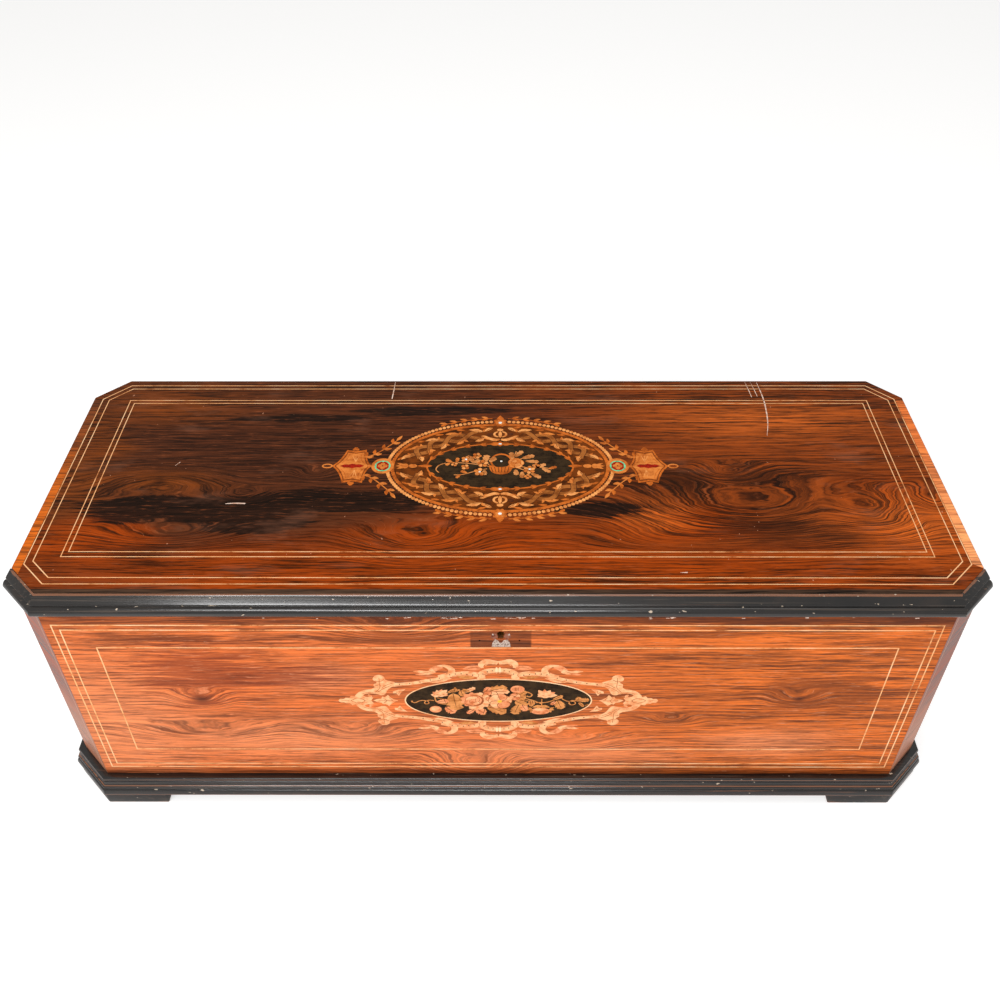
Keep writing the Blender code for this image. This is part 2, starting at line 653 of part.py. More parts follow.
def build_lock():
    half = LOCK_WIDTH / 2
    low = RIM - LOCK_HEIGHT
    room = half + JOINT_GAP
    mortise = block("lock_mortise", (KEYHOLE_X - room, LOCK_FRONT - JOINT_GAP, low - JOINT_GAP),
                    (KEYHOLE_X + room, INSIDE_FRONT + CUT_OVERRUN, RIM + CUT_OVERRUN), "pine")
    front_panel = bpy.data.objects["front_panel"]
    cut(front_panel, mortise)
    cut(front_panel, keyhole_cutter("panel_keyhole", CASE_FRONT - CUT_OVERRUN, INSIDE_FRONT))

    lock_top = RIM - JOINT_GAP
    lock = block("lock_body", (KEYHOLE_X - half, LOCK_FRONT, low),
                 (KEYHOLE_X + half, INSIDE_FRONT, lock_top), "brass")
    cut(lock, keyhole_cutter("lock_keyhole", LOCK_FRONT - CUT_OVERRUN, LOCK_FRONT + KEYHOLE_BORE))
    bolt_low = lock_top - BOLT_HEIGHT
    side, deep = BOLT_WIDTH / 2, BOLT_DEPTH / 2
    room, deep_room = side + JOINT_GAP, deep + JOINT_GAP
    cut(lock, block("bolt_slot", (KEYHOLE_X - room, BOLT_Y - deep_room, bolt_low - JOINT_GAP),
                    (KEYHOLE_X + room, BOLT_Y + deep_room, RIM + CUT_OVERRUN), "brass"))
    block("lock_bolt", (KEYHOLE_X - side, BOLT_Y - deep, bolt_low),
          (KEYHOLE_X + side, BOLT_Y + deep, lock_top), "steel")


def build_lid():
    lid = flat("lid_panel", [octagon(LID_WIDTH, LID_DEPTH, LID_CANT)], LID_THICKNESS, "rosewood_veneer",
               (0.0, LID_MIDDLE, LID_BOTTOM + LID_THICKNESS / 2))
    inset = 2 * LID_RIM
    recess_top = LID_BOTTOM + LID_RECESS
    recess = flat("lid_recess", [octagon(LID_WIDTH - inset, LID_DEPTH - inset, LID_CANT)],
                  LID_RECESS + CUT_OVERRUN, "pine",
                  (0.0, LID_MIDDLE, recess_top - (LID_RECESS + CUT_OVERRUN) / 2))
    cut(lid, recess)

    x, y = LID_WIDTH / 2, LID_FRONT
    path = [(-x, y + LID_CANT), (-x + LID_CANT, y), (x - LID_CANT, y), (x, y + LID_CANT)]
    profile = scaled(LID_MOULDING_SHARES, MOULDING_OUT - JOINT_GAP, LID_THICKNESS, JOINT_GAP, LID_BOTTOM)
    trim = moulding("lid_moulding", path, profile, "ebonised_wood")

    half, deep = STRIKE_WIDTH / 2, STRIKE_DEPTH / 2
    strike_y = max(BOLT_Y, LID_FRONT + deep + JOINT_GAP)
    strike = block("lid_strike_plate", (KEYHOLE_X - half, strike_y - deep, LID_BOTTOM),
                   (KEYHOLE_X + half, strike_y + deep, LID_BOTTOM + STRIKE_THICKNESS), "brass")
    room, deep_room = half + JOINT_GAP, deep + JOINT_GAP
    mortise_top = LID_BOTTOM + STRIKE_THICKNESS + JOINT_GAP
    cut(lid, block("strike_mortise", (KEYHOLE_X - room, strike_y - deep_room, LID_BOTTOM - CUT_OVERRUN),
                   (KEYHOLE_X + room, strike_y + deep_room, mortise_top), "pine"))
    slot_low = (KEYHOLE_X - BOLT_WIDTH / 2 - 2 * JOINT_GAP, BOLT_Y - BOLT_DEPTH / 2 - 2 * JOINT_GAP,
                LID_BOTTOM - CUT_OVERRUN)
    slot_high = (KEYHOLE_X + BOLT_WIDTH / 2 + 2 * JOINT_GAP, BOLT_Y + BOLT_DEPTH / 2 + 2 * JOINT_GAP,
                 RIM + BOLT_TRAVEL + STRIKE_THICKNESS)
    cut(strike, block("strike_slot", slot_low, slot_high, "brass"))
    cut(lid, block("bolt_pocket", slot_low, slot_high, "pine"))

    card_top = recess_top - JOINT_GAP
    card = block("tune_card", (-CARD_WIDTH / 2, LID_MIDDLE - CARD_DEPTH / 2, card_top - CARD_THICKNESS),
                 (CARD_WIDTH / 2, LID_MIDDLE + CARD_DEPTH / 2, card_top), "paper")
    leaves = build_lid_hinges(lid)
    pivot("lid_axis", (0.0, HINGE_Y, HINGE_Z), lid, trim, strike, card, *leaves)


def knuckle(name, left, right, radius, finish):
    """A round length of hinge between two places along X."""
    half = (right - left) / 2
    profile = [(0.0, half), (radius, half), (radius, -half), (0.0, -half)]
    return turned(name, profile, SMALL_STEPS, finish, ((left + right) / 2, HINGE_Y, HINGE_Z), ACROSS)


def build_lid_hinges(lid):
    """Two butt hinges: the lower leaf holds the middle knuckle and the pin, the upper leaf the outer two."""
    moving = []
    back_panel = bpy.data.objects["back_panel"]
    third = HINGE_LENGTH / 3
    for side, sign in (("left", -1), ("right", 1)):
        middle = sign * (CASE_WIDTH / 2 - CASE_CANT - HINGE_INSET)
        left, right = middle - HINGE_LENGTH / 2, middle + HINGE_LENGTH / 2
        front = CASE_BACK - HINGE_LEAF_WIDTH
        leaf_low, leaf_high = RIM - HINGE_LEAF, LID_BOTTOM + HINGE_LEAF
        lower = block("lid_hinge_lower_" + side, (left, front, leaf_low), (right, HINGE_Y, RIM), "brass")
        upper = block("lid_hinge_upper_" + side, (left, front, LID_BOTTOM), (right, HINGE_Y, leaf_high),
                      "brass")
        for leaf, panel, low, high in ((lower, back_panel, leaf_low - JOINT_GAP, RIM + CUT_OVERRUN),
                                       (upper, lid, LID_BOTTOM - CUT_OVERRUN, leaf_high + JOINT_GAP)):
            cut(panel, block(leaf.name + "_mortise", (left - JOINT_GAP, front - JOINT_GAP, low),
                             (right + JOINT_GAP, HINGE_Y, high), "pine"))
        gap = HINGE_CLEARANCE
        reach = HINGE_KNUCKLE + gap
        for leaf, spaces in ((lower, (0, 2)), (upper, (1,))):
            for index in spaces:
                space_left = left + index * third - gap
                cut(leaf, block(f"{leaf.name}_space_{index}", (space_left, HINGE_Y - reach, HINGE_Z - reach),
                                (space_left + third + 2 * gap, HINGE_Y + reach, HINGE_Z + reach), "brass"))
        join(lower, knuckle(f"lower_knuckle_{side}", left + third + gap, right - third - gap, HINGE_KNUCKLE,
                            "brass"))
        join(lower, knuckle(f"hinge_pin_{side}", left, right, HINGE_PIN, "brass"))
        for index, start in enumerate((0, 2)):
            join(upper, knuckle(f"upper_knuckle_{side}_{index}", left + start * third + gap,
                                left + (start + 1) * third - gap, HINGE_KNUCKLE, "brass"))
        cut(upper, knuckle(f"pin_bore_{side}", left - gap, right + gap, HINGE_PIN + gap, "brass"))
        moving.append(upper)
    return moving


def build_partitions():
    """Two upright boards that stand on the bedplate, notched over the arbor and the control rods."""
    top = RIM - PARTITION_DROP
    bottom = BED_TOP + JOINT_GAP
    front, back = INSIDE_FRONT + JOINT_GAP, INSIDE_BACK - JOINT_GAP
    arbor_room = WINDING_ARBOR_RADIUS + BRIDGE_BOSS / 2
    rod_room = ROD_RADIUS + BRIDGE_BOSS / 2
    notches = {"left": [(BARREL_Y, AXIS_Z, arbor_room)],
               "right": [(STOP_ROD_Y, ROD_Z, rod_room), (CHANGE_ROD_Y, ROD_Z, rod_room)]}
    for side, x in (("left", LEFT_PARTITION_X), ("right", RIGHT_PARTITION_X)):
        outline = [(front, bottom)]
        for y, z, room in notches[side]:
            outline.append((y - room, bottom))
            outline.extend(arc((y, z), room, 180, 0, SMALL_STEPS // 2))
            outline.append((y + room, bottom))
        outline.extend([(back, bottom), (back, top), (front, top)])
        bore = circle(GLASS_PIVOT_RADIUS + RUN_CLEARANCE, SMALL_STEPS, (GLASS_AXIS_Y, GLASS_AXIS_Z))
        flat("partition_" + side, [outline, bore], PARTITION, "walnut", (x, 0.0, 0.0), ACROSS)
    block("glass_lid_ledge", (GLASS_LEFT, front, GLASS_BOTTOM - JOINT_GAP - LEDGE),
          (GLASS_RIGHT, front + LEDGE, GLASS_BOTTOM - JOINT_GAP), "walnut")


def build_glass_lid():
    frame = block("glass_lid_frame", (GLASS_LEFT, GLASS_FRONT, GLASS_BOTTOM),
                  (GLASS_RIGHT, GLASS_BACK, GLASS_TOP), "ebonised_wood", EDGE_ROUND)
    left, right = GLASS_LEFT + GLASS_LID_RAIL, GLASS_RIGHT - GLASS_LID_RAIL
    front, back = GLASS_FRONT + GLASS_LID_RAIL, GLASS_BACK - GLASS_LID_RAIL
    cut(frame, block("glass_window", (left, front, GLASS_BOTTOM - CUT_OVERRUN),
                     (right, back, GLASS_TOP + CUT_OVERRUN), "walnut"))
    seat = GLASS_TOP - GLASS_REBATE_DEPTH
    cut(frame, block("glass_rebate", (left - GLASS_REBATE, front - GLASS_REBATE, seat),
                     (right + GLASS_REBATE, back + GLASS_REBATE, GLASS_TOP + CUT_OVERRUN), "walnut"))
    length = GLASS_PIVOT_LENGTH + GLASS_LID_CLEARANCE
    profile = [(0.0, length), (GLASS_PIVOT_RADIUS, length), (GLASS_PIVOT_RADIUS, -length), (0.0, -length)]
    for side, x in (("left", GLASS_LEFT), ("right", GLASS_RIGHT)):
        join(frame, turned(f"glass_pivot_{side}", profile, SMALL_STEPS, "brass",
                           (x, GLASS_AXIS_Y, GLASS_AXIS_Z), ACROSS))
    edge = GLASS_REBATE - JOINT_GAP
    pane = block("glass_pane", (left - edge, front - edge, seat + JOINT_GAP),
                 (right + edge, back + edge, seat + JOINT_GAP + PANE_THICKNESS), "glass")
    profile = scaled(KNOB_SHARES, KNOB_RADIUS, KNOB_HEIGHT, 0.0, JOINT_GAP)
    knob = turned("glass_lid_knob", profile, MEDIUM_STEPS, "brass",
                  (KEYHOLE_X, GLASS_FRONT + GLASS_LID_RAIL / 2, GLASS_TOP))
    pivot("glass_lid_axis", (0.0, GLASS_AXIS_Y, GLASS_AXIS_Z), frame, pane, knob)


def build_bedplate():
    half = BED_DEPTH / 2
    block("bedplate", (BED_LEFT, BED_MIDDLE - half, BED_HEIGHT), (BED_RIGHT, BED_MIDDLE + half, BED_TOP),
          "cast_iron", 2 * EDGE_ROUND)
    for side, x in (("left", BED_LEFT + BEARER_INSET), ("right", BED_RIGHT - BEARER_INSET)):
        block("bedplate_bearer_" + side, (x - BEARER_WIDTH / 2, BED_MIDDLE - half, FLOOR_TOP + JOINT_GAP),
              (x + BEARER_WIDTH / 2, BED_MIDDLE + half, BED_HEIGHT - JOINT_GAP), "pine")


def build_comb():
    """A slotted steel comb whose teeth grow shorter from bass to treble, screwed to a raised base."""
    pitch = COMB_LENGTH / TOOTH_COUNT
    right = COMB_LEFT + COMB_LENGTH
    outline = [(COMB_LEFT, COMB_FRONT_Y), (right, COMB_FRONT_Y)]
    for index in reversed(range(TOOTH_COUNT)):
        share = index / (TOOTH_COUNT - 1)
        root = COMB_TIP_Y - BASS_TOOTH * (1 - share) - TREBLE_TOOTH * share
        middle = COMB_LEFT + (index + 0.5) * pitch
        body = (pitch - TOOTH_SLOT) / 2
        outline.extend([(middle + body, root), (middle + TIP_WIDTH / 2, COMB_TIP_Y),
                        (middle - TIP_WIDTH / 2, COMB_TIP_Y), (middle - body, root)])
    outline.append((COMB_LEFT, outline[-1][1]))
    outline.insert(2, (right, outline[2][1]))
    screw_y = COMB_FRONT_Y + COMB_BASE_DEPTH / 2
    spacing = COMB_LENGTH / COMB_SCREW_COUNT
    places = [(COMB_LEFT + (index + 0.5) * spacing, screw_y) for index in range(COMB_SCREW_COUNT)]
    holes = [circle(COMB_SCREW_SHANK + JOINT_GAP, SMALL_STEPS // 2, place) for place in places]
    flat("comb", [outline, *holes], COMB_THICKNESS, "steel", (0.0, 0.0, COMB_BOTTOM + COMB_THICKNESS / 2))

    base_top = COMB_BOTTOM - JOINT_GAP
    base = block("comb_base", (COMB_LEFT, COMB_FRONT_Y, BED_TOP + JOINT_GAP),
                 (right, COMB_FRONT_Y + COMB_BASE_DEPTH, base_top), "brass")
    head_low = COMB_BOTTOM + COMB_THICKNESS + JOINT_GAP
    head_high = head_low + COMB_SCREW_HEAD_HEIGHT
    end = base_top - CUT_OVERRUN
    profile = [(0.0, head_high), (COMB_SCREW_HEAD, head_high), (COMB_SCREW_HEAD, head_low),
               (COMB_SCREW_SHANK, head_low), (COMB_SCREW_SHANK, end), (0.0, end)]
    for index, (x, y) in enumerate(places):
        join(base, turned(f"comb_screw_{index}", profile, SMALL_STEPS // 2, "steel", (x, y, 0.0)))


def lying(name, profile, steps, finish, y, z, ring=False):
    """A turned piece on an axis along X: profile holds (radius, x) points from its right end to its left."""
    return turned(name, profile, steps, finish, (0.0, y, z), ACROSS, ring)


def upright_plate(name, left, right, loops, finish, y, z, edge=0.0):
    """A plate that stands across the box, its outline given as (y, z) about a place."""
    return flat(name, loops, right - left, finish, ((left + right) / 2, y, z), ACROSS, edge)


def build_cylinder():
    inner = ARBOR_RADIUS + SLIDE_CLEARANCE
    hollow = CYLINDER_RADIUS - CYLINDER_SHELL
    left, right = CYLINDER_LEFT, CYLINDER_RIGHT
    profile = [(inner, right), (CYLINDER_RADIUS, right), (CYLINDER_RADIUS, left), (inner, left),
               (inner, left + CYLINDER_CAP), (hollow, left + CYLINDER_CAP), (hollow, right - CYLINDER_CAP),
               (inner, right - CYLINDER_CAP)]
    cylinder = lying("music_cylinder", profile, FINE_STEPS, "brass", AXIS_Y, AXIS_Z, ring=True)
    y, z = polar(DRIVE_PIN_OFFSET, SNAIL_ANGLE + 180)
    cap_left = right - CYLINDER_CAP
    cut(cylinder, round_bar("drive_pin_hole", cap_left - CUT_OVERRUN, right + CUT_OVERRUN,
                            DRIVE_PIN_RADIUS + SLIDE_CLEARANCE, AXIS_Y + y, AXIS_Z + z))
    y, z = polar(SNAIL_OFFSET - FEELER_OFFSET, SNAIL_ANGLE)
    join(cylinder, round_bar("tune_feeler", right - CYLINDER_CAP / 2, FEELER_END, FEELER_RADIUS,
                             AXIS_Y + y, AXIS_Z + z))


def round_bar(name, left, right, radius, y, z):
    profile = [(0.0, right), (radius, right), (radius, left), (0.0, left)]
    return lying(name, profile, SMALL_STEPS, "steel", y, z)


def build_arbor():
    """The cylinder's steel arbor, with the leaves that the spring barrel drives cut at its left end."""
    pinion_right = LEFT_BRIDGE_LEFT - BRIDGE_GAP / 2
    pinion_left = pinion_right - DRIVE_PINION_WIDTH
    end = pinion_left - RATCHET_GAP
    shoulder_left = LEFT_BRIDGE_RIGHT + RATCHET_GAP
    shoulder_right = RIGHT_BRIDGE_LEFT - RATCHET_GAP
    far = RIGHT_BRIDGE_RIGHT + RATCHET_GAP
    profile = [(0.0, far), (JOURNAL_RADIUS, far), (JOURNAL_RADIUS, shoulder_right),
               (ARBOR_RADIUS, shoulder_right), (ARBOR_RADIUS, shoulder_left),
               (JOURNAL_RADIUS, shoulder_left), (JOURNAL_RADIUS, end), (0.0, end)]
    arbor = lying("cylinder_arbor", profile, SMALL_STEPS, "steel", AXIS_Y, AXIS_Z)
    leaves = pinion_leaves(DRIVE_PINION_TEETH, DRIVE_MODULE, 180 + 180 / DRIVE_PINION_TEETH)
    join(arbor, upright_plate("drive_pinion", pinion_left, pinion_right, [leaves], "steel", AXIS_Y, AXIS_Z))

    bore = circle(ARBOR_RADIUS + JOINT_GAP, MEDIUM_STEPS)
    teeth = wheel_teeth(GREAT_WHEEL_TEETH, GREAT_WHEEL_MODULE)
    wheel = upright_plate("great_wheel", GREAT_WHEEL_LEFT, GREAT_WHEEL_LEFT + GREAT_WHEEL_WIDTH,
                          [teeth, bore], "brass", AXIS_Y, AXIS_Z)
    inside = GREAT_WHEEL_LEFT + GREAT_WHEEL_WIDTH / 2
    y, z = polar(SNAIL_OFFSET, SNAIL_ANGLE)
    stud_end = STAR_LEFT - SNAIL_BASE - TUNE_STEP * (TUNE_STEPS - 1) - JOINT_GAP
    join(wheel, round_bar("snail_stud", stud_end, inside, SNAIL_STUD, AXIS_Y + y, AXIS_Z + z))
    y, z = polar(DRIVE_PIN_OFFSET, SNAIL_ANGLE + 180)
    pin_end = CYLINDER_RIGHT - CYLINDER_CAP - TUNE_STEP * TUNE_STEPS - RATCHET_GAP
    join(wheel, round_bar("drive_pin", pin_end, inside, DRIVE_PIN_RADIUS, AXIS_Y + y, AXIS_Z + z))


def build_snail():
    """A star wheel with a spiral stair on its face: each step shifts the cylinder to the next tune."""
    y, z = polar(SNAIL_OFFSET, SNAIL_ANGLE)
    y, z = AXIS_Y + y, AXIS_Z + z
    step = 360 / TUNE_STEPS
    towards_arbor = SNAIL_ANGLE + 180
    first = towards_arbor + step / 2
    hole = SNAIL_STUD + JOINT_GAP
    bore = circle(hole, SMALL_STEPS)
    star = []
    for index in range(TUNE_STEPS):
        star.append(polar(STAR_TIP, first + index * step))
        star.append(polar(STAR_ROOT, first + (index + 0.5) * step))
    snail = upright_plate("tune_snail", STAR_LEFT, STAR_RIGHT, [star, bore], "steel", y, z)
    join(snail, snail_stair(y, z, first))


def snail_stair(y, z, first):
    """A ring of flat treads, each one step higher than the last, with steep risers between them."""
    step = 360 / TUNE_STEPS
    riser = step * RISER_SHARE
    angles = [(index, first - index * step - offset) for index in range(TUNE_STEPS)
              for offset in (riser, step / 2, step - riser)]
    shape = bmesh.new()
    loops = []
    for radius in (SNAIL_STUD + 2 * JOINT_GAP, SNAIL_RADIUS):
        verts = [shape.verts.new((*polar(radius, angle), 0.0)) for _, angle in angles]
        loops.extend(shape.edges.new((vert, verts[number - 1])) for number, vert in enumerate(verts))
    bottom = bmesh.ops.bridge_loops(shape, edges=loops)["faces"]
    grown = bmesh.ops.extrude_face_region(shape, geom=bottom, use_keep_orig=True)["geom"]
    lap = STAR_WIDTH / 2
    for vert in (item for item in grown if isinstance(item, bmesh.types.BMVert)):
        turn = (first - math.degrees(math.atan2(vert.co.y, vert.co.x))) % 360
        vert.co.z -= lap + SNAIL_BASE + TUNE_STEP * int(turn / step)
    bmesh.ops.recalc_face_normals(shape, faces=shape.faces)
    mesh = bpy.data.meshes.new("snail_stair")
    shape.to_mesh(mesh)
    shape.free()
    return add_piece("snail_stair", mesh, "steel", (STAR_LEFT + lap, y, z), ACROSS)


def build_barrel():
    bore = WINDING_ARBOR_RADIUS + JOINT_GAP
    lip = BARREL_GEAR_WIDTH / 4
    cap = BARREL_DRUM_RADIUS - 2 * lip
    profile = [(bore, BARREL_RIGHT), (BARREL_DRUM_RADIUS, BARREL_RIGHT), (BARREL_DRUM_RADIUS, BARREL_LEFT),
               (cap, BARREL_LEFT), (cap, BARREL_LEFT + lip), (bore, BARREL_LEFT + lip)]
    barrel = lying("spring_barrel", profile, FINE_STEPS, "brass", BARREL_Y, AXIS_Z, ring=True)
    inner = circle(BARREL_DRUM_RADIUS - 4 * lip, MEDIUM_STEPS)
    join(barrel, upright_plate("barrel_teeth", BARREL_RIGHT - BARREL_GEAR_WIDTH - lip, BARREL_RIGHT - lip,
                               [wheel_teeth(BARREL_TEETH, DRIVE_MODULE), inner], "brass", BARREL_Y, AXIS_Z))


def ratchet_outline():
    """Saw teeth: a steep face on each tooth's lower side, then a slope down to the next."""
    pitch = 360 / RATCHET_TEETH
    outline = []
    for index in range(RATCHET_TEETH):
        outline.append(polar(RATCHET_ROOT, index * pitch))
        outline.append(polar(RATCHET_TIP, (index + RATCHET_FACE_SHARE) * pitch))
    return outline


def pawl_outline(tooth_angle, pivot_angle):
    """A pawl about its own pivot. Its nose fills the gap before the steep face at tooth_angle."""
    pivot_y, pivot_z = polar(PAWL_PIVOT_OFFSET, pivot_angle)
    pitch = 360 / RATCHET_TEETH
    depth = RATCHET_TIP - RATCHET_ROOT
    heel, nose, crown = (polar(RATCHET_ROOT + depth * up, tooth_angle - pitch * back)
                         for up, back in PAWL_NOSE_SHARES)
    away = math.degrees(math.atan2(nose[1] - pivot_z, nose[0] - pivot_y))
    eye = arc((pivot_y, pivot_z), PAWL_EYE, away + 80, away + 280, SMALL_STEPS // 2)
    return [(y - pivot_y, z - pivot_z) for y, z in [heel, *eye, crown, nose]]


def build_winding():
    """The winding arbor with its ratchet wheel, and the lever whose pawl turns it."""
    far = LEFT_BRIDGE_RIGHT + RATCHET_GAP / 2
    shoulder = LEFT_BRIDGE_LEFT - RATCHET_GAP / 2
    end = LEVER_LEFT - RATCHET_GAP
    profile = [(0.0, far), (WINDING_JOURNAL, far), (WINDING_JOURNAL, shoulder),
               (WINDING_ARBOR_RADIUS, shoulder), (WINDING_ARBOR_RADIUS, end), (0.0, end)]
    lying("winding_arbor", profile, MEDIUM_STEPS, "steel", BARREL_Y, AXIS_Z)
    bore = circle(WINDING_ARBOR_RADIUS + JOINT_GAP, MEDIUM_STEPS)
    upright_plate("ratchet_wheel", RATCHET_LEFT, RATCHET_RIGHT, [ratchet_outline(), bore], "steel",
                  BARREL_Y, AXIS_Z)

    reach = LEVER_LENGTH
    half = LEVER_WIDTH / 2
    spread = math.degrees(math.asin(half / LEVER_HUB))
    tip = arc((reach, 0.0), half, -90, 90, SMALL_STEPS // 2)
    hub = arc((0.0, 0.0), LEVER_HUB, spread, 360 - spread, SMALL_STEPS)
    bar = rotated(tip + hub, LEVER_REST)
    lever = upright_plate("winding_lever", LEVER_LEFT, LEVER_RIGHT, [bar, bore], "steel", BARREL_Y, AXIS_Z)

    y, z = polar(LEVER_LENGTH, LEVER_REST)
    grip_profile = scaled(GRIP_SHARES, GRIP_RADIUS, GRIP_LENGTH, 0.0, JOINT_GAP)
    turned("lever_grip", grip_profile, MEDIUM_STEPS, "ebonised_wood", (LEVER_LEFT, BARREL_Y + y, AXIS_Z + z),
           (-math.pi / 2, 0.0, math.pi / 2))

    pitch = 360 / RATCHET_TEETH
    tooth = round((LEVER_REST + PAWL_LEAD) / pitch) * pitch
    pawl_angle = LEVER_REST - PAWL_BACK
    y, z = polar(PAWL_PIVOT_OFFSET, pawl_angle)
    middle = (RATCHET_LEFT + RATCHET_RIGHT) / 2
    stud_hole = circle(PAWL_STUD + JOINT_GAP, SMALL_STEPS)
    flat("lever_pawl", [pawl_outline(tooth, pawl_angle), stud_hole], PAWL_WIDTH,
         "steel", (middle, BARREL_Y + y, AXIS_Z + z), ACROSS)
    join(lever, round_bar("pawl_stud", LEVER_RIGHT - LEVER_THICKNESS / 2, RATCHET_RIGHT - JOINT_GAP,
                          PAWL_STUD, BARREL_Y + y, AXIS_Z + z))


def build_click():
    """The click that holds the ratchet wheel, standing lifted from its tooth on a stud of the bracket."""
    pitch = 360 / RATCHET_TEETH
    tooth = round((CLICK_ANGLE + CLICK_LEAD) / pitch) * pitch
    y, z = polar(PAWL_PIVOT_OFFSET, CLICK_ANGLE)
    lifted = rotated(pawl_outline(tooth, CLICK_ANGLE), -CLICK_LIFT)
    flat("click", [lifted, circle(PAWL_STUD + JOINT_GAP, SMALL_STEPS)], PAWL_WIDTH, "steel",
         ((RATCHET_LEFT + RATCHET_RIGHT) / 2, BARREL_Y + y, AXIS_Z + z), ACROSS)


def standing_outline(base_left, base_right, bosses, boss_radius):
    """An upright's outline: a flat base and a round boss at each shaft, listed from high y to low."""
    foot_middle = BED_TOP + JOINT_GAP + BRIDGE_FOOT_HEIGHT / 2
    outline = [(base_left, foot_middle), (base_right, foot_middle)]
    count = len(bosses)
    for index, (y, z) in enumerate(bosses):
        start = 0 if index == 0 else 60
        end = 180 if index == count - 1 else 120
        outline.extend(arc((y, z), boss_radius, start, end, SMALL_STEPS // 2))
    return outline


def upright(name, left, right, base, bosses, holes, finish, foot_left, foot_right):
    """A plate that carries shafts, with a foot on the bedplate."""
    outline = standing_outline(*base, bosses, BRIDGE_BOSS)
    plate = upright_plate(name, left, right, [outline, *holes], finish, 0.0, 0.0)
    low = BED_TOP + JOINT_GAP
    join(plate, block(name + "_foot", (foot_left, base[0] - EDGE_ROUND, low),
                      (foot_right, base[1] + EDGE_ROUND, low + BRIDGE_FOOT_HEIGHT), finish))
    return plate


def build_bridges():
    hole = JOURNAL_RADIUS + RUN_CLEARANCE
    left_holes = [circle(hole, MEDIUM_STEPS, (AXIS_Y, AXIS_Z)),
                  circle(WINDING_JOURNAL + RUN_CLEARANCE, MEDIUM_STEPS, (BARREL_Y, AXIS_Z))]
    upright("cylinder_bridge_left", LEFT_BRIDGE_LEFT, LEFT_BRIDGE_RIGHT,
            (BARREL_Y - 2 * BRIDGE_BOSS, AXIS_Y + 2 * BRIDGE_BOSS), [(AXIS_Y, AXIS_Z), (BARREL_Y, AXIS_Z)],
            left_holes, "brass", LEFT_BRIDGE_LEFT - EDGE_ROUND, LEFT_BRIDGE_LEFT + BRIDGE_FOOT)
    right_holes = [circle(hole, MEDIUM_STEPS, (AXIS_Y, AXIS_Z)),
                   circle(ROD_RADIUS + ROD_CLEARANCE, MEDIUM_STEPS, (CHANGE_ROD_Y, ROD_Z))]
    upright("cylinder_bridge_right", RIGHT_BRIDGE_LEFT, RIGHT_BRIDGE_RIGHT,
            (AXIS_Y - BRIDGE_BOSS, CHANGE_ROD_Y + BRIDGE_BOSS),
            [(CHANGE_ROD_Y, ROD_Z), (AXIS_Y, AXIS_Z)], right_holes, "brass",
            RIGHT_BRIDGE_LEFT - EDGE_ROUND, RIGHT_BRIDGE_LEFT + BRIDGE_FOOT)
    y, z = polar(PAWL_PIVOT_OFFSET, CLICK_ANGLE)
    bracket = upright("barrel_bracket", BRACKET_LEFT, BRACKET_RIGHT,
                      (BARREL_Y + y - BRIDGE_BOSS, BARREL_Y + 2 * BRIDGE_BOSS),
                      [(BARREL_Y, AXIS_Z), (BARREL_Y + y, AXIS_Z + z)],
                      [circle(WINDING_ARBOR_RADIUS + RUN_CLEARANCE, MEDIUM_STEPS, (BARREL_Y, AXIS_Z))],
                      "brass", BRACKET_RIGHT - BRIDGE_FOOT, BRACKET_RIGHT + EDGE_ROUND)
    join(bracket, round_bar("click_stud", RATCHET_LEFT + JOINT_GAP, BRACKET_LEFT + BRACKET_THICKNESS / 2,
                            PAWL_STUD, BARREL_Y + y, AXIS_Z + z))


def build_governor():
    """Two wheel and pinion arbors that speed up to the endless screw, whose fly brakes the cylinder."""
    frame_left, frame_right = FRAME_LEFT, FRAME_RIGHT
    inner_left, inner_right = FRAME_LEFT + FRAME_PLATE, FRAME_RIGHT_X
    reach = RATCHET_GAP / 2
    shoulders = (inner_left + reach, inner_right - reach)

    wheel_left = inner_left + reach * 3
    pinion_right = GREAT_WHEEL_LEFT + GREAT_WHEEL_WIDTH + reach
    pinion_left = pinion_right - GOVERNOR_PINION_WIDTH
    shaft = shaft_profile(pinion_left - reach, frame_right + reach, *shoulders)
    first = lying("first_governor_wheel", shaft, SMALL_STEPS, "steel", FIRST_Y, FIRST_Z)
    leaves = pinion_leaves(FIRST_PINION_TEETH, GREAT_WHEEL_MODULE, first_pinion_phase())
    join(first, upright_plate("first_pinion", pinion_left, pinion_right, [leaves], "steel",
                              FIRST_Y, FIRST_Z))
    teeth = wheel_teeth(FIRST_WHEEL_TEETH, FIRST_WHEEL_MODULE)
    join(first, upright_plate("first_wheel", wheel_left, wheel_left + GOVERNOR_WHEEL_WIDTH, [teeth], "brass",
                              FIRST_Y, FIRST_Z))

    middle = wheel_left + GOVERNOR_WHEEL_WIDTH / 2
    shaft = shaft_profile(frame_left - reach, frame_right + reach, *shoulders)
    second = lying("second_governor_wheel", shaft, SMALL_STEPS, "steel", SECOND_Y, SECOND_Z)
    half = SECOND_PINION_WIDTH / 2
    leaves = pinion_leaves(SECOND_PINION_TEETH, FIRST_WHEEL_MODULE, 180 / SECOND_PINION_TEETH)
    join(second, upright_plate("second_pinion", middle - half, middle + half, [leaves], "steel",
                               SECOND_Y, SECOND_Z))
    half = GOVERNOR_WHEEL_WIDTH / 2
    join(second, upright_plate("screw_wheel", SCREW_PLANE_X - half, SCREW_PLANE_X + half,
                               [wheel_teeth(SCREW_WHEEL_TEETH, SCREW_MODULE)], "brass", SECOND_Y, SECOND_Z))
    build_screw()
    build_fly()
    build_governor_frame(frame_left, frame_right)


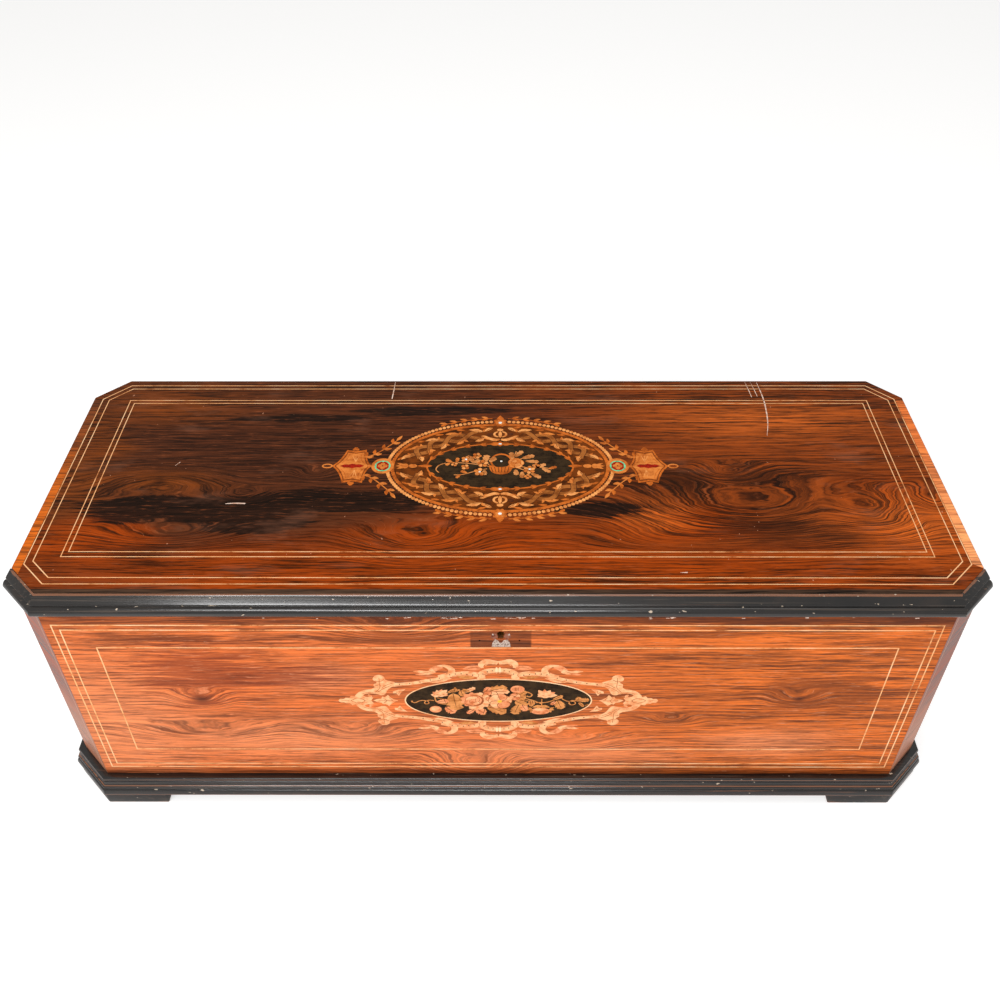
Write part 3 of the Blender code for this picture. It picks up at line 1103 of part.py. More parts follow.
def first_pinion_phase():
    """The pinion's turn that puts a gap between its leaves against a tooth of the great wheel."""
    pitch = 360 / GREAT_WHEEL_TEETH
    tooth_error = GOVERNOR_ANGLE - round(GOVERNOR_ANGLE / pitch) * pitch
    facing = GOVERNOR_ANGLE - 180
    return facing + 180 / FIRST_PINION_TEETH + tooth_error * GREAT_WHEEL_TEETH / FIRST_PINION_TEETH


def shaft_profile(left, right, shoulder_left, shoulder_right):
    """A governor arbor: thin pivots at its ends, a stouter shaft between the plates."""
    return [(0.0, right), (GOVERNOR_PIVOT, right), (GOVERNOR_PIVOT, shoulder_right),
            (GOVERNOR_SHAFT, shoulder_right), (GOVERNOR_SHAFT, shoulder_left),
            (GOVERNOR_PIVOT, shoulder_left), (GOVERNOR_PIVOT, left), (0.0, left)]


def screw_radius(angle, height):
    """The endless screw's surface: a single thread at the wheel's pitch, a gap of it facing a tooth."""
    lead = math.pi * SCREW_MODULE
    place = (height / lead - angle / math.tau + 0.25) % 1.0
    off_crest = abs(place - 0.5) * 2
    root = SCREW_PITCH_RADIUS - THREAD_ROOT_SHARE * SCREW_MODULE
    tip = SCREW_PITCH_RADIUS + THREAD_TIP_SHARE * SCREW_MODULE
    rise = min(1.0, max(0.0, (THREAD_FOOT_SHARE - off_crest) / THREAD_SLOPE_SHARE))
    return root + (tip - root) * rise


def build_screw():
    mesh = bpy.data.meshes.new("endless_screw")
    shape = bmesh.new()
    rings = round(SCREW_LENGTH / (math.pi * SCREW_MODULE) * SCREW_RINGS)
    bmesh.ops.create_cone(shape, cap_ends=True, segments=SMALL_STEPS, radius1=GOVERNOR_SHAFT,
                          radius2=GOVERNOR_SHAFT, depth=SCREW_LENGTH)
    end = SCREW_LENGTH / 2
    sides = [edge for edge in shape.edges if abs(edge.verts[0].co.z - edge.verts[1].co.z) > end]
    bmesh.ops.subdivide_edges(shape, edges=sides, cuts=rings - 1, use_grid_fill=False)
    for vert in shape.verts:
        if abs(vert.co.z) < end - CUT_OVERRUN / 4:
            radius = screw_radius(math.atan2(vert.co.y, vert.co.x), vert.co.z)
            vert.co.xy = vert.co.xy.normalized() * radius
    shape.to_mesh(mesh)
    shape.free()
    screw = add_piece("endless_screw", mesh, "steel", (SCREW_PLANE_X, SCREW_Y, SECOND_Z))

    low = BED_TOP + JOINT_GAP + FRAME_BASE / 3
    low_shoulder = low + FRAME_BASE
    high = COCK_BOTTOM + COCK_THICKNESS
    high_shoulder = COCK_BOTTOM - COCK_RISE / 8
    slim = GOVERNOR_SHAFT - JOINT_GAP
    shaft = [(0.0, high), (GOVERNOR_PIVOT, high), (GOVERNOR_PIVOT, high_shoulder), (slim, high_shoulder),
             (slim, low_shoulder), (GOVERNOR_PIVOT, low_shoulder), (GOVERNOR_PIVOT, low), (0.0, low)]
    join(screw, turned("screw_shaft", shaft, SMALL_STEPS // 2, "steel", (SCREW_PLANE_X, SCREW_Y, 0.0)))


def build_fly():
    """Two thin brass blades on a hub that is pinned to the endless screw's shaft."""
    bore = GOVERNOR_SHAFT
    profile = [(bore, FLY_HEIGHT), (FLY_HUB, FLY_HEIGHT), (FLY_HUB, 0.0), (bore, 0.0)]
    fly = turned("fly", profile, SMALL_STEPS, "brass", (SCREW_PLANE_X, SCREW_Y, FLY_BOTTOM), ring=True)
    low, high = FLY_BOTTOM + EDGE_ROUND, FLY_BOTTOM + FLY_HEIGHT - EDGE_ROUND
    thick = FLY_THICKNESS / 2
    for side, sign in (("left", -1), ("right", 1)):
        near, far = sign * (bore + FLY_HUB) / 2, sign * FLY_SPAN / 2
        join(fly, block(f"fly_blade_{side}", (SCREW_PLANE_X + min(near, far), SCREW_Y - thick, low),
                        (SCREW_PLANE_X + max(near, far), SCREW_Y + thick, high), "brass"))


def build_governor_frame(frame_left, frame_right):
    """A base with two plates for the arbors, and a cock on the right one that holds the screw's top."""
    low = BED_TOP + JOINT_GAP
    plate_low = low + FRAME_BASE / 2
    back = FIRST_Y + BRIDGE_BOSS / 3
    front = STOP_ROD_Y - CONTROL_EAR
    frame = block("governor_frame", (frame_left - EDGE_ROUND, front - EDGE_ROUND, low),
                  (frame_right + EDGE_ROUND, back + EDGE_ROUND, low + FRAME_BASE), "brass")
    arbors = ((SECOND_Y, SECOND_Z), (FIRST_Y, FIRST_Z))
    holes = [circle(GOVERNOR_BORE, SMALL_STEPS, place) for place in arbors]
    top = SECOND_Z + BRIDGE_BOSS / 2
    left_plate = [(SECOND_Y - BRIDGE_BOSS, plate_low), (back, plate_low), (back, top),
                  (SECOND_Y - BRIDGE_BOSS / 2, top)]
    join(frame, upright_plate("governor_plate_left", frame_left, frame_left + FRAME_PLATE,
                              [left_plate, *holes], "brass", 0.0, 0.0))
    rod = circle(ROD_RADIUS + ROD_CLEARANCE, SMALL_STEPS, (STOP_ROD_Y, ROD_Z))
    half = COCK_WIDTH / 2
    neck_top = COCK_BOTTOM + COCK_THICKNESS + EDGE_ROUND
    right_plate = [(front, plate_low), (back, plate_low), (back, top), (SCREW_Y + half, top),
                   (SCREW_Y + half, neck_top), (SCREW_Y - half, neck_top), (SCREW_Y - half, top),
                   (STOP_ROD_Y, ROD_Z + CONTROL_EAR), (front, ROD_Z)]
    join(frame, upright_plate("governor_plate_right", FRAME_RIGHT_X, frame_right, [right_plate, *holes, rod],
                              "brass", 0.0, 0.0))
    half -= EDGE_ROUND
    cock_high = (FRAME_RIGHT_X + FRAME_PLATE / 2, SCREW_Y + half, COCK_BOTTOM + COCK_THICKNESS)
    join(frame, block("governor_cock", (SCREW_PLANE_X - half, SCREW_Y - half, COCK_BOTTOM), cock_high,
                      "brass"))
    for name, bottom, top in (("screw_bearing_low", low - CUT_OVERRUN, low + FRAME_BASE + CUT_OVERRUN),
                              ("screw_bearing_high", COCK_BOTTOM - CUT_OVERRUN, neck_top + CUT_OVERRUN)):
        profile = [(0.0, top), (GOVERNOR_BORE, top), (GOVERNOR_BORE, bottom), (0.0, bottom)]
        cut(frame, turned(name, profile, SMALL_STEPS, "brass", (SCREW_PLANE_X, SCREW_Y, 0.0)))


def control_lever(name, y):
    """An upright hand lever on a rod's end, with a turned knob. Gives the place where the rod ends."""
    left = CONTROL_RIGHT + RATCHET_GAP
    half = CONTROL_LEVER_WIDTH / 2
    hub = arc((0.0, 0.0), half + ROD_RADIUS, 150, 390, SMALL_STEPS // 2)
    outline = [(-half / 2, CONTROL_LEVER), *hub, (half / 2, CONTROL_LEVER)]
    bore = circle(ROD_RADIUS + JOINT_GAP, SMALL_STEPS)
    lever = upright_plate(name, left, left + CONTROL_LEVER_THICKNESS, [outline, bore], "steel", y, ROD_Z)
    knob_low = ROD_Z + CONTROL_LEVER - CONTROL_KNOB / 2
    profile = scaled(KNOB_SHARES, CONTROL_KNOB, 2 * CONTROL_KNOB, 0.0, knob_low)
    middle = left + CONTROL_LEVER_THICKNESS / 2
    join(lever, turned(name + "_knob", profile, SMALL_STEPS, "brass", (middle, y, 0.0)))
    return left + CONTROL_LEVER_THICKNESS + RATCHET_GAP


def build_controls():
    """The start and stop lever with its arm at the fly, and the change and repeat lever with its finger."""
    rod_end = control_lever("start_stop_lever", STOP_ROD_Y)
    control_lever("change_repeat_lever", CHANGE_ROD_Y)

    arm_left = SCREW_PLANE_X + FLY_HUB
    rod = round_bar("start_stop_rod", arm_left - EDGE_ROUND, rod_end, ROD_RADIUS, STOP_ROD_Y, ROD_Z)
    tip_y = SCREW_Y - FLY_SPAN / 2 - STOP_ARM_GAP - STOP_ROD_Y
    tip_z = FLY_BOTTOM + FLY_HEIGHT * STOP_HEIGHT_SHARE - ROD_Z
    half = STOP_ARM_WIDTH / 2 - JOINT_GAP
    join(rod, upright_plate("stop_arm", arm_left, arm_left + STOP_ARM_WIDTH,
                            [[(half, 0.0), (tip_y, tip_z), (tip_y - half, tip_z), (-half, 0.0)]],
                            "steel", STOP_ROD_Y, ROD_Z))

    change = round_bar("change_rod", STAR_LEFT - EDGE_ROUND, rod_end, ROD_RADIUS, CHANGE_ROD_Y, ROD_Z)
    reach = SNAIL_OFFSET + STAR_TIP + FINGER_GAP
    aim = math.degrees(math.atan2(ROD_Z - AXIS_Z, CHANGE_ROD_Y - AXIS_Y)) / 2
    y, z = polar(reach, aim)
    tip_y, tip_z = AXIS_Y + y - CHANGE_ROD_Y, AXIS_Z + z - ROD_Z
    join(change, upright_plate("change_finger", STAR_LEFT, STAR_RIGHT,
                               [[(half, 0.0), (tip_y + half, tip_z), (tip_y, tip_z), (-half, 0.0)]],
                               "steel", CHANGE_ROD_Y, ROD_Z))

    ear = CONTROL_EAR
    low = BED_TOP + JOINT_GAP
    front, back = STOP_ROD_Y - ear, CHANGE_ROD_Y + ear
    base_top = low + BRIDGE_FOOT_HEIGHT
    foot_middle = low + BRIDGE_FOOT_HEIGHT / 2
    outline = [(front, foot_middle), (back, foot_middle)]
    outline += arc((CHANGE_ROD_Y, ROD_Z), ear, 0, 180, SMALL_STEPS // 2)
    outline += [(CHANGE_ROD_Y - ear, base_top + ear / 2), (STOP_ROD_Y + ear, base_top + ear / 2)]
    outline += arc((STOP_ROD_Y, ROD_Z), ear, 0, 180, SMALL_STEPS // 2)
    holes = [circle(ROD_RADIUS + ROD_CLEARANCE, SMALL_STEPS, (y, ROD_Z)) for y in (STOP_ROD_Y, CHANGE_ROD_Y)]
    bracket = upright_plate("control_bracket", CONTROL_LEFT, CONTROL_RIGHT, [outline, *holes], "brass",
                            0.0, 0.0)
    join(bracket, block("control_bracket_foot", (CONTROL_LEFT - EDGE_ROUND, front - EDGE_ROUND, low),
                        (CONTROL_LEFT + BRIDGE_FOOT, back + EDGE_ROUND, base_top), "brass"))


build_case()
build_plinth()
build_lock()
build_lid()
build_partitions()
build_glass_lid()
build_bedplate()
build_comb()
build_cylinder()
build_arbor()
build_snail()
build_barrel()
build_winding()
build_click()
build_bridges()
build_governor()
build_controls()
bpy.context.view_layer.update()
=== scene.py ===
import math
import random

import bmesh
import bpy
from mathutils import Matrix, Vector


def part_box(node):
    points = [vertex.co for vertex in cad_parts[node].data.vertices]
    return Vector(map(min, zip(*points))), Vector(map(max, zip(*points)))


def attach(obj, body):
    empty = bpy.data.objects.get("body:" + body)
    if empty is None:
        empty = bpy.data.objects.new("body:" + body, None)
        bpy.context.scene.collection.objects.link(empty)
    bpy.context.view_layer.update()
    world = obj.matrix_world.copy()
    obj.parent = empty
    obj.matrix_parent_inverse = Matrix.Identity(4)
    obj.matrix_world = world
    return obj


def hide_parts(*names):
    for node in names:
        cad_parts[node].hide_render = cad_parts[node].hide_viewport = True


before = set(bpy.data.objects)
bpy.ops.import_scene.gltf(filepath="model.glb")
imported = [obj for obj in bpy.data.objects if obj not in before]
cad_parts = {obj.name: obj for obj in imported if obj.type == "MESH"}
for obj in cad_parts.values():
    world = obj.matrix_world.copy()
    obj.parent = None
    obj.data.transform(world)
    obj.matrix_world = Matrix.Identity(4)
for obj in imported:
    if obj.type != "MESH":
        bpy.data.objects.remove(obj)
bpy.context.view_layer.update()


# Studio. A white sweep with a long soft lamp over the front, as a catalogue photograph has.
# The camera stands in front of the box and looks down on its lid.
scene = bpy.context.scene
scene.view_settings.view_transform = "Standard"

CAMERA_PLACE = (0.00496, -0.70929, 0.89213)
pitch, yaw, roll = math.radians(41.89), math.radians(-0.233), math.radians(-0.139)
ahead = Vector((math.sin(yaw) * math.cos(pitch), math.cos(yaw) * math.cos(pitch), -math.sin(pitch)))
level = Vector((math.cos(yaw), -math.sin(yaw), 0.0))
upward = level.cross(ahead)
side_way = level * math.cos(roll) + upward * math.sin(roll)
top_way = upward * math.cos(roll) - level * math.sin(roll)
lens = bpy.data.cameras.new("camera")
lens.lens, lens.sensor_width = 37.26, 36.0
lens.clip_start = 0.05
camera = bpy.data.objects.new("camera", lens)
turn = Matrix((side_way, top_way, -ahead)).transposed().to_4x4()
camera.matrix_world = Matrix.Translation(CAMERA_PLACE) @ turn
scene.collection.objects.link(camera)
scene.camera = camera


def soft_lamp(name, place, aim, size, watts):
    lamp = bpy.data.lights.new(name, "AREA")
    lamp.shape, lamp.size, lamp.size_y, lamp.energy = "RECTANGLE", size[0], size[1], watts
    holder = bpy.data.objects.new(name, lamp)
    holder.location = place
    holder.rotation_euler = (Vector(aim) - Vector(place)).to_track_quat("-Z", "Y").to_euler()
    scene.collection.objects.link(holder)


soft_lamp("front_strip", (-0.55, -1.75, 1.55), (-0.1, 0.0, 0.20), (2.4, 0.36), 36.0)
soft_lamp("top_lamp", (0.3, -0.3, 2.8), (0.0, 0.0, 0.2), (2.2, 2.2), 17.0)

world = bpy.data.worlds.new("studio")
scene.world = world
world.use_nodes = True
sky, sky_links = world.node_tree.nodes, world.node_tree.links
sky.clear()
seen, room = sky.new("ShaderNodeBackground"), sky.new("ShaderNodeBackground")
seen.inputs["Color"].default_value = (1.0, 1.0, 1.0, 1.0)
seen.inputs["Strength"].default_value = 1.0
room.inputs["Color"].default_value = (1.0, 0.985, 0.96, 1.0)
room.inputs["Strength"].default_value = 0.50
ray, either, out = [sky.new(kind) for kind in ("ShaderNodeLightPath", "ShaderNodeMixShader",
                                               "ShaderNodeOutputWorld")]
sky_links.new(ray.outputs["Is Camera Ray"], either.inputs[0])
sky_links.new(room.outputs[0], either.inputs[1])
sky_links.new(seen.outputs[0], either.inputs[2])
sky_links.new(either.outputs[0], out.inputs[0])


class Finish:
    """A material under construction. Each call adds one node and gives back its result."""

    def __init__(self, name, roughness=0.5, metallic=0.0, specular=0.5):
        self.material = bpy.data.materials.new(name)
        self.material.use_nodes = True
        self.tree = self.material.node_tree
        self.shader = self.tree.nodes["Principled BSDF"]
        self.set("Roughness", roughness)
        self.set("Metallic", metallic)
        self.set("Specular IOR Level", specular)
        self.place = self.add("ShaderNodeTexCoord").outputs["Object"]

    def add(self, kind, values=(), **settings):
        node = self.tree.nodes.new(kind)
        for key, value in settings.items():
            setattr(node, key, value)
        for socket, value in zip(node.inputs, values):
            self.join(socket, value)
        return node

    def join(self, socket, value):
        if isinstance(value, bpy.types.NodeSocket):
            self.tree.links.new(value, socket)
        elif value is not None:
            socket.default_value = value

    def set(self, name, value):
        self.join(self.shader.inputs[name], value)

    def maths(self, operation, *values):
        return self.add("ShaderNodeMath", values, operation=operation).outputs[0]

    def fit(self, value, low, high, to_low=0.0, to_high=1.0):
        """A smooth step from one value to another."""
        node = self.add("ShaderNodeMapRange", (value, low, high, to_low, to_high),
                        interpolation_type="SMOOTHSTEP")
        return node.outputs[0]

    def scaled(self, scale, shift=(0.0, 0.0, 0.0), vector=None):
        return self.add("ShaderNodeMapping", (vector or self.place, shift, None, scale)).outputs[0]

    def noise(self, vector, scale=1.0, detail=2.0, roughness=0.5):
        return self.add("ShaderNodeTexNoise", (vector, None, scale, detail, roughness)).outputs[0]

    def axes(self, vector=None):
        return self.add("ShaderNodeSeparateXYZ", (vector or self.place,)).outputs

    def blend(self, share, first, second):
        node = self.add("ShaderNodeMix", data_type="RGBA")
        self.join(node.inputs[0], share)
        self.join(node.inputs[6], first)
        self.join(node.inputs[7], second)
        return node.outputs[2]

    def over(self, colour, mask, share, second):
        """Lays a second colour on the first where a mask says, as strongly as its share."""
        return self.blend(self.maths("MULTIPLY", mask, share), colour, second)

    def ramp(self, value, *stops):
        node = self.add("ShaderNodeValToRGB", (value,))
        while len(node.color_ramp.elements) < len(stops):
            node.color_ramp.elements.new(0.5)
        for element, (place, colour) in zip(node.color_ramp.elements, stops):
            element.position, element.color = place, colour
        return node.outputs[0]

    def bump(self, height, distance, strength=1.0):
        node = self.add("ShaderNodeBump", (strength, distance))
        self.join(node.inputs["Height"], height)
        self.set("Normal", node.outputs[0])


def paint(red, green, blue):
    """A colour as a paint chart gives it, 0 to 255, turned to light."""
    parts = [min(value, 255) / 255 for value in (red, green, blue)]
    return (*[value / 12.92 if value <= 0.04045 else ((value + 0.055) / 1.055) ** 2.4 for value in parts],
            1.0)


def sheet_on(name, corners):
    mesh = bpy.data.meshes.new(name)
    shape = bmesh.new()
    shape.faces.new([shape.verts.new(corner) for corner in corners])
    shape.to_mesh(mesh)
    shape.free()
    piece = bpy.data.objects.new(name, mesh)
    scene.collection.objects.link(piece)
    return piece


FLOOR_HALF, FLOOR_GLOW = 6.0, 0.42
floor = sheet_on("studio_floor", [(across * FLOOR_HALF, back * FLOOR_HALF, 0.0)
                                  for across, back in ((-1, -1), (1, -1), (1, 1), (-1, 1))])
white = Finish("studio_white", 0.8, specular=0.2)
white.set("Base Color", paint(236, 236, 236))
camera_ray = white.add("ShaderNodeLightPath").outputs["Is Camera Ray"]
white.set("Emission Color", (1.0, 1.0, 1.0, 1.0))
white.set("Emission Strength", white.maths("MULTIPLY", camera_ray, FLOOR_GLOW))
floor.data.materials.append(white.material)


# Front panel of the case: a solid ground sheathed in rosewood, its grain running along the box.
# The veneer is cut from one leaf, with a knot each side and a pale feathered figure low on the left, partly painted
# glare.
CASE_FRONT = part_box("front_panel")[0].y
CASE_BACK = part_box("back_panel")[1].y
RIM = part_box("front_panel")[1].z
LID_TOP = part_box("lid_panel")[1].z
LID_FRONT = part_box("lid_panel")[0].y


def patch(finish, vector, centre, reach):
    """A soft round spot on a flat face, full in its middle and gone at its reach."""
    scale = (1 / reach[0], 1 / reach[1], 0.0)
    shift = (-centre[0] / reach[0], -centre[1] / reach[1], 0.0)
    spot = finish.scaled(scale, shift, vector)
    return finish.fit(finish.add("ShaderNodeVectorMath", (spot,), operation="LENGTH").outputs["Value"], 1.0,
                      0.0)


def joined(finish, vector, *spots):
    """The strongest of several spots at each place."""
    result = patch(finish, vector, *spots[0])
    for spot in spots[1:]:
        result = finish.maths("MAXIMUM", result, patch(finish, vector, *spot))
    return result


def flat_place(finish, first, second):
    """Object coordinates laid flat: the first axis runs along the grain, the second across it."""
    parts = finish.axes()
    return finish.add("ShaderNodeCombineXYZ", (parts[first], parts[second], 0.0)).outputs[0]


def pushed(finish, flat, along, across, scale=(7.0, 26.0, 0.0)):
    """A place pushed about by a noise, so that a spot laid on it has a ragged edge."""
    push = finish.add("ShaderNodeTexNoise", (finish.scaled(scale, vector=flat), None, 1.0, 4.0,
                                             0.6)).outputs[1]
    centred = finish.add("ShaderNodeVectorMath", (push, (0.5, 0.5, 0.5)), operation="SUBTRACT").outputs[0]
    moved = finish.add("ShaderNodeVectorMath", (centred, (along, across, 0.0)),
                       operation="MULTIPLY").outputs[0]
    return finish.add("ShaderNodeVectorMath", (flat, moved), operation="ADD").outputs[0]


def rosewood(finish, flat, knots, wave, rings, seed):
    """Bends the grain round its knots. Gives its tone, its growth lines, its pores and the bent place."""
    along, across = finish.axes(flat)[:2]
    drift = finish.noise(finish.scaled((2.4, 6.0, 0.0), (seed, 0.0, 0.0), flat), 1.0, 2.0)
    shake = finish.noise(finish.scaled((13.0, 40.0, 0.0), (seed, seed, 0.0), flat), 1.0, 4.0, 0.6)
    bent = finish.maths("MULTIPLY_ADD", drift, wave, across)
    bent = finish.maths("MULTIPLY_ADD", shake, 0.006, bent)
    uneven = pushed(finish, flat, 0.030, 0.012)
    for centre, reach, height in knots:
        bent = finish.maths("MULTIPLY_ADD", patch(finish, uneven, centre, reach), height, bent)
    spot = finish.add("ShaderNodeCombineXYZ", (along, bent, 0.0)).outputs[0]
    bands = finish.noise(finish.scaled((1.6, 42.0, 0.0), (seed, seed, 0.0), spot), 1.0, 5.0, 0.62)
    fine = finish.noise(finish.scaled((16.0, 430.0, 0.0), (seed, 0.0, 0.0), spot), 1.0, 4.0, 0.7)
    tone = finish.maths("MULTIPLY_ADD", fine, 0.85, finish.maths("MULTIPLY", bands, 0.42))
    tone = finish.maths("SUBTRACT", tone, 0.135)
    jitter = finish.noise(finish.scaled((16.0, 70.0, 0.0), vector=spot), 1.0, 3.0)
    phase = finish.maths("MULTIPLY_ADD", bent, rings, finish.maths("MULTIPLY", jitter, 7.0))
    broken = finish.fit(finish.noise(finish.scaled((5.0, 60.0, 0.0), (0.0, seed, 0.0), spot), 1.0, 3.0),
                        0.36, 0.62)
    lines = finish.maths("MULTIPLY", finish.fit(finish.maths("SINE", phase), 0.35, 1.0), broken)
    pores = finish.fit(finish.noise(finish.scaled((34.0, 560.0, 0.0), vector=spot), 1.0, 3.0, 0.7), 0.55,
                       0.66)
    return tone, lines, pores, spot


def painted_glints(finish, colour, spot, light, share):
    """Short bright dashes of painted highlight, where the polish would catch the light on the cut fibres."""
    glint_mask = finish.noise(finish.scaled((40.0, 600.0, 0.0), (9.0, 9.0, 0.0), spot), 1.0, 3.0, 0.7)
    return finish.over(colour, finish.fit(glint_mask, 0.56, 0.70), share, light)


def grained(finish, tone, colour, spread=0.5):
    """A wood colour that runs darker and lighter with the grain's tone."""
    dark = paint(*[value * (1 - spread) for value in colour])
    light = paint(*[value * (1 + spread * 0.45) for value in colour])
    return finish.ramp(tone, (0.40, dark), (0.50, paint(*colour)), (0.60, light))


def streaky(finish, mask, tone, pull=2.2, edge=0.14):
    """Breaks a soft patch up along the grain, so that it ends in feathers."""
    moved = finish.maths("MULTIPLY_ADD", finish.maths("SUBTRACT", 0.5, tone), pull, mask)
    return finish.fit(moved, 0.5 - edge, 0.5 + edge)


def board(finish, colour, axis, low, high, along_x=True):
    """The plain wood behind a veneer, shown past a depth on one axis."""
    ground = finish.noise(finish.scaled((5.0, 200.0, 120.0) if along_x else (200.0, 5.0, 120.0)), 1.0, 3.0)
    plain = finish.ramp(ground, (0.35, paint(104, 66, 36)), (0.65, paint(142, 96, 56)))
    return finish.blend(finish.fit(axis, low, high), colour, plain)


def dress(material, *names):
    for name in names:
        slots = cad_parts[name].data.materials
        slots.clear()
        slots.append(material)


front_wood = Finish("front_rosewood", 0.42, specular=0.14)
flat = flat_place(front_wood, "X", "Z")
front_knots = [((-0.262, 0.150), (0.040, 0.024), 0.016), ((0.266, 0.151), (0.036, 0.020), 0.013),
               ((-0.268, 0.098), (0.120, 0.034), 0.020), ((-0.128, 0.096), (0.080, 0.032), 0.018),
               ((-0.022, 0.046), (0.070, 0.040), 0.030), ((-0.085, 0.242), (0.085, 0.026), 0.016),
               ((0.158, 0.120), (0.040, 0.014), 0.009), ((0.060, 0.086), (0.090, 0.026), 0.018)]
tone, lines, pores, spot = rosewood(front_wood, flat, front_knots, 0.010, 1700.0, 3.0)
parts = front_wood.axes()
colour = front_wood.blend(front_wood.fit(parts["X"], -0.05, 0.22),
                          grained(front_wood, tone, (206, 105, 50), 0.36),
                          grained(front_wood, tone, (198, 99, 36), 0.42))
ragged = pushed(front_wood, flat, 0.09, 0.014, (5.0, 60.0, 0.0))
# Paler wood low down, strongest on the left: partly the veneer's own figure, partly painted glare.
pale_figure_and_glare = joined(front_wood, ragged, ((-0.345, 0.110), (0.14, 0.15)), ((-0.190, 0.092), (0.24, 0.05)),
              ((-0.16, 0.180), (0.06, 0.03)), ((0.05, 0.070), (0.20, 0.04)), ((0.25, 0.085), (0.10, 0.035)))
colour = front_wood.over(colour, pale_figure_and_glare, 0.55, grained(front_wood, tone, (238, 148, 100), 0.26))
smudge = streaky(front_wood, joined(front_wood, ragged, ((-0.252, 0.188), (0.105, 0.070)),
                                    ((-0.262, 0.150), (0.036, 0.028)), ((-0.215, 0.182), (0.13, 0.03))),
                 tone, 2.6, 0.34)
shade = streaky(front_wood, joined(front_wood, ragged, ((0.285, 0.162), (0.120, 0.062)),
                                   ((0.266, 0.151), (0.018, 0.013)), ((-0.085, 0.234), (0.110, 0.020)),
                                   ((0.330, 0.225), (0.12, 0.022)), ((0.15, 0.238), (0.22, 0.010)),
                                   ((-0.28, 0.232), (0.10, 0.012))), tone, 3.0, 0.30)
colour = front_wood.over(colour, smudge, 0.62, paint(138, 52, 22))
colour = front_wood.over(colour, shade, 0.55, paint(112, 50, 14))
colour = front_wood.over(colour, lines, 0.24, paint(118, 50, 14))
colour = front_wood.over(colour, pores, 0.62, paint(96, 40, 12))
# Painted highlight: short bright glints along the grain.
colour = painted_glints(front_wood, colour, spot, paint(252, 170, 124), 0.42)
knots = joined(front_wood, flat, ((-0.262, 0.150), (0.012, 0.010)), ((0.266, 0.151), (0.008, 0.007)))
colour = front_wood.over(colour, knots, 0.75, paint(66, 24, 10))
# Painted shade: the front darkens in a band along its top, under the lid's moulding, and along its bottom just above
# the plinth.
edge = front_wood.maths("MAXIMUM", front_wood.fit(parts["Z"], RIM - 0.014, RIM - 0.007),
                        front_wood.fit(parts["Z"], 0.047, 0.038))
edge = front_wood.maths("MULTIPLY", edge, front_wood.fit(tone, 0.66, 0.40, 0.62, 1.0))
colour = front_wood.over(colour, edge, 0.90, paint(84, 36, 13))
# Where the lost lock plate lay, the wood never faded.
KEYHOLE_X, PLATE_HALF, PLATE_LOW, PLATE_HIGH = 0.003, 0.0262, 0.2205, 0.2440
from_keyhole = front_wood.maths("ABSOLUTE", front_wood.maths("SUBTRACT", parts["X"], KEYHOLE_X))
ghost = front_wood.maths("MULTIPLY", front_wood.fit(from_keyhole, PLATE_HALF, PLATE_HALF - 0.0017),
                         front_wood.fit(parts["Z"], PLATE_LOW, PLATE_LOW + 0.0010))
ghost = front_wood.maths("MULTIPLY", ghost, front_wood.fit(parts["Z"], PLATE_HIGH, PLATE_HIGH - 0.0040))
ghost_low = front_wood.maths("MULTIPLY", ghost, front_wood.fit(parts["Z"], 0.2310, 0.2290))
colour = front_wood.over(colour, ghost, 0.55, paint(84, 36, 12))
colour = front_wood.over(colour, ghost_low, 0.55, paint(52, 22, 9))
glare = front_wood.fit(front_wood.noise(front_wood.scaled((60.0, 60.0, 700.0)), 1.0, 3.0, 0.7), 0.70, 0.76)
colour = front_wood.over(colour, glare, 0.55, paint(255, 196, 156))
front_wood.set("Base Color", board(front_wood, colour, parts["Y"], CASE_FRONT + 0.0008,
                                   CASE_FRONT + 0.0012))
front_wood.set("Roughness", front_wood.fit(tone, 0.3, 0.7, 0.34, 0.50))
front_wood.bump(front_wood.maths("SUBTRACT", tone, front_wood.maths("MULTIPLY", pores, 0.5)), 0.0001, 0.5)
dress(front_wood.material, "front_panel")


# Side panels and canted corner posts: the same rosewood, its grain lying along each face, with a painted
# glare low down on the front posts. The back is plain walnut and the board underneath is pine, both only oiled.
side_wood = Finish("side_rosewood", 0.36, specular=0.35)
flat = flat_place(side_wood, "Y", "Z")
tone, lines, pores, spot = rosewood(side_wood, flat, [((0.03, 0.15), (0.12, 0.06), 0.04)], 0.020, 1100.0,
                                    7.0)
colour = grained(side_wood, tone, (168, 82, 42), 0.45)
colour = side_wood.over(colour, lines, 0.50, paint(84, 36, 14))
colour = side_wood.over(colour, pores, 0.45, paint(70, 30, 12))
side_wood.set("Base Color", board(side_wood, colour, side_wood.maths("ABSOLUTE", side_wood.axes()["X"]),
                                  0.4030, 0.4026, False))
side_wood.set("Roughness", side_wood.fit(tone, 0.3, 0.7, 0.30, 0.46))
side_wood.bump(side_wood.maths("SUBTRACT", tone, pores), 0.0001, 0.5)
dress(side_wood.material, "side_panel_left", "side_panel_right")

post_wood = Finish("post_rosewood", 0.40, specular=0.15)
flat = flat_place(post_wood, "X", "Z")
tone, lines, pores, spot = rosewood(post_wood, flat, [], 0.020, 1100.0, 11.0)
colour = grained(post_wood, tone, (150, 68, 34), 0.45)
height = post_wood.axes()["Z"]
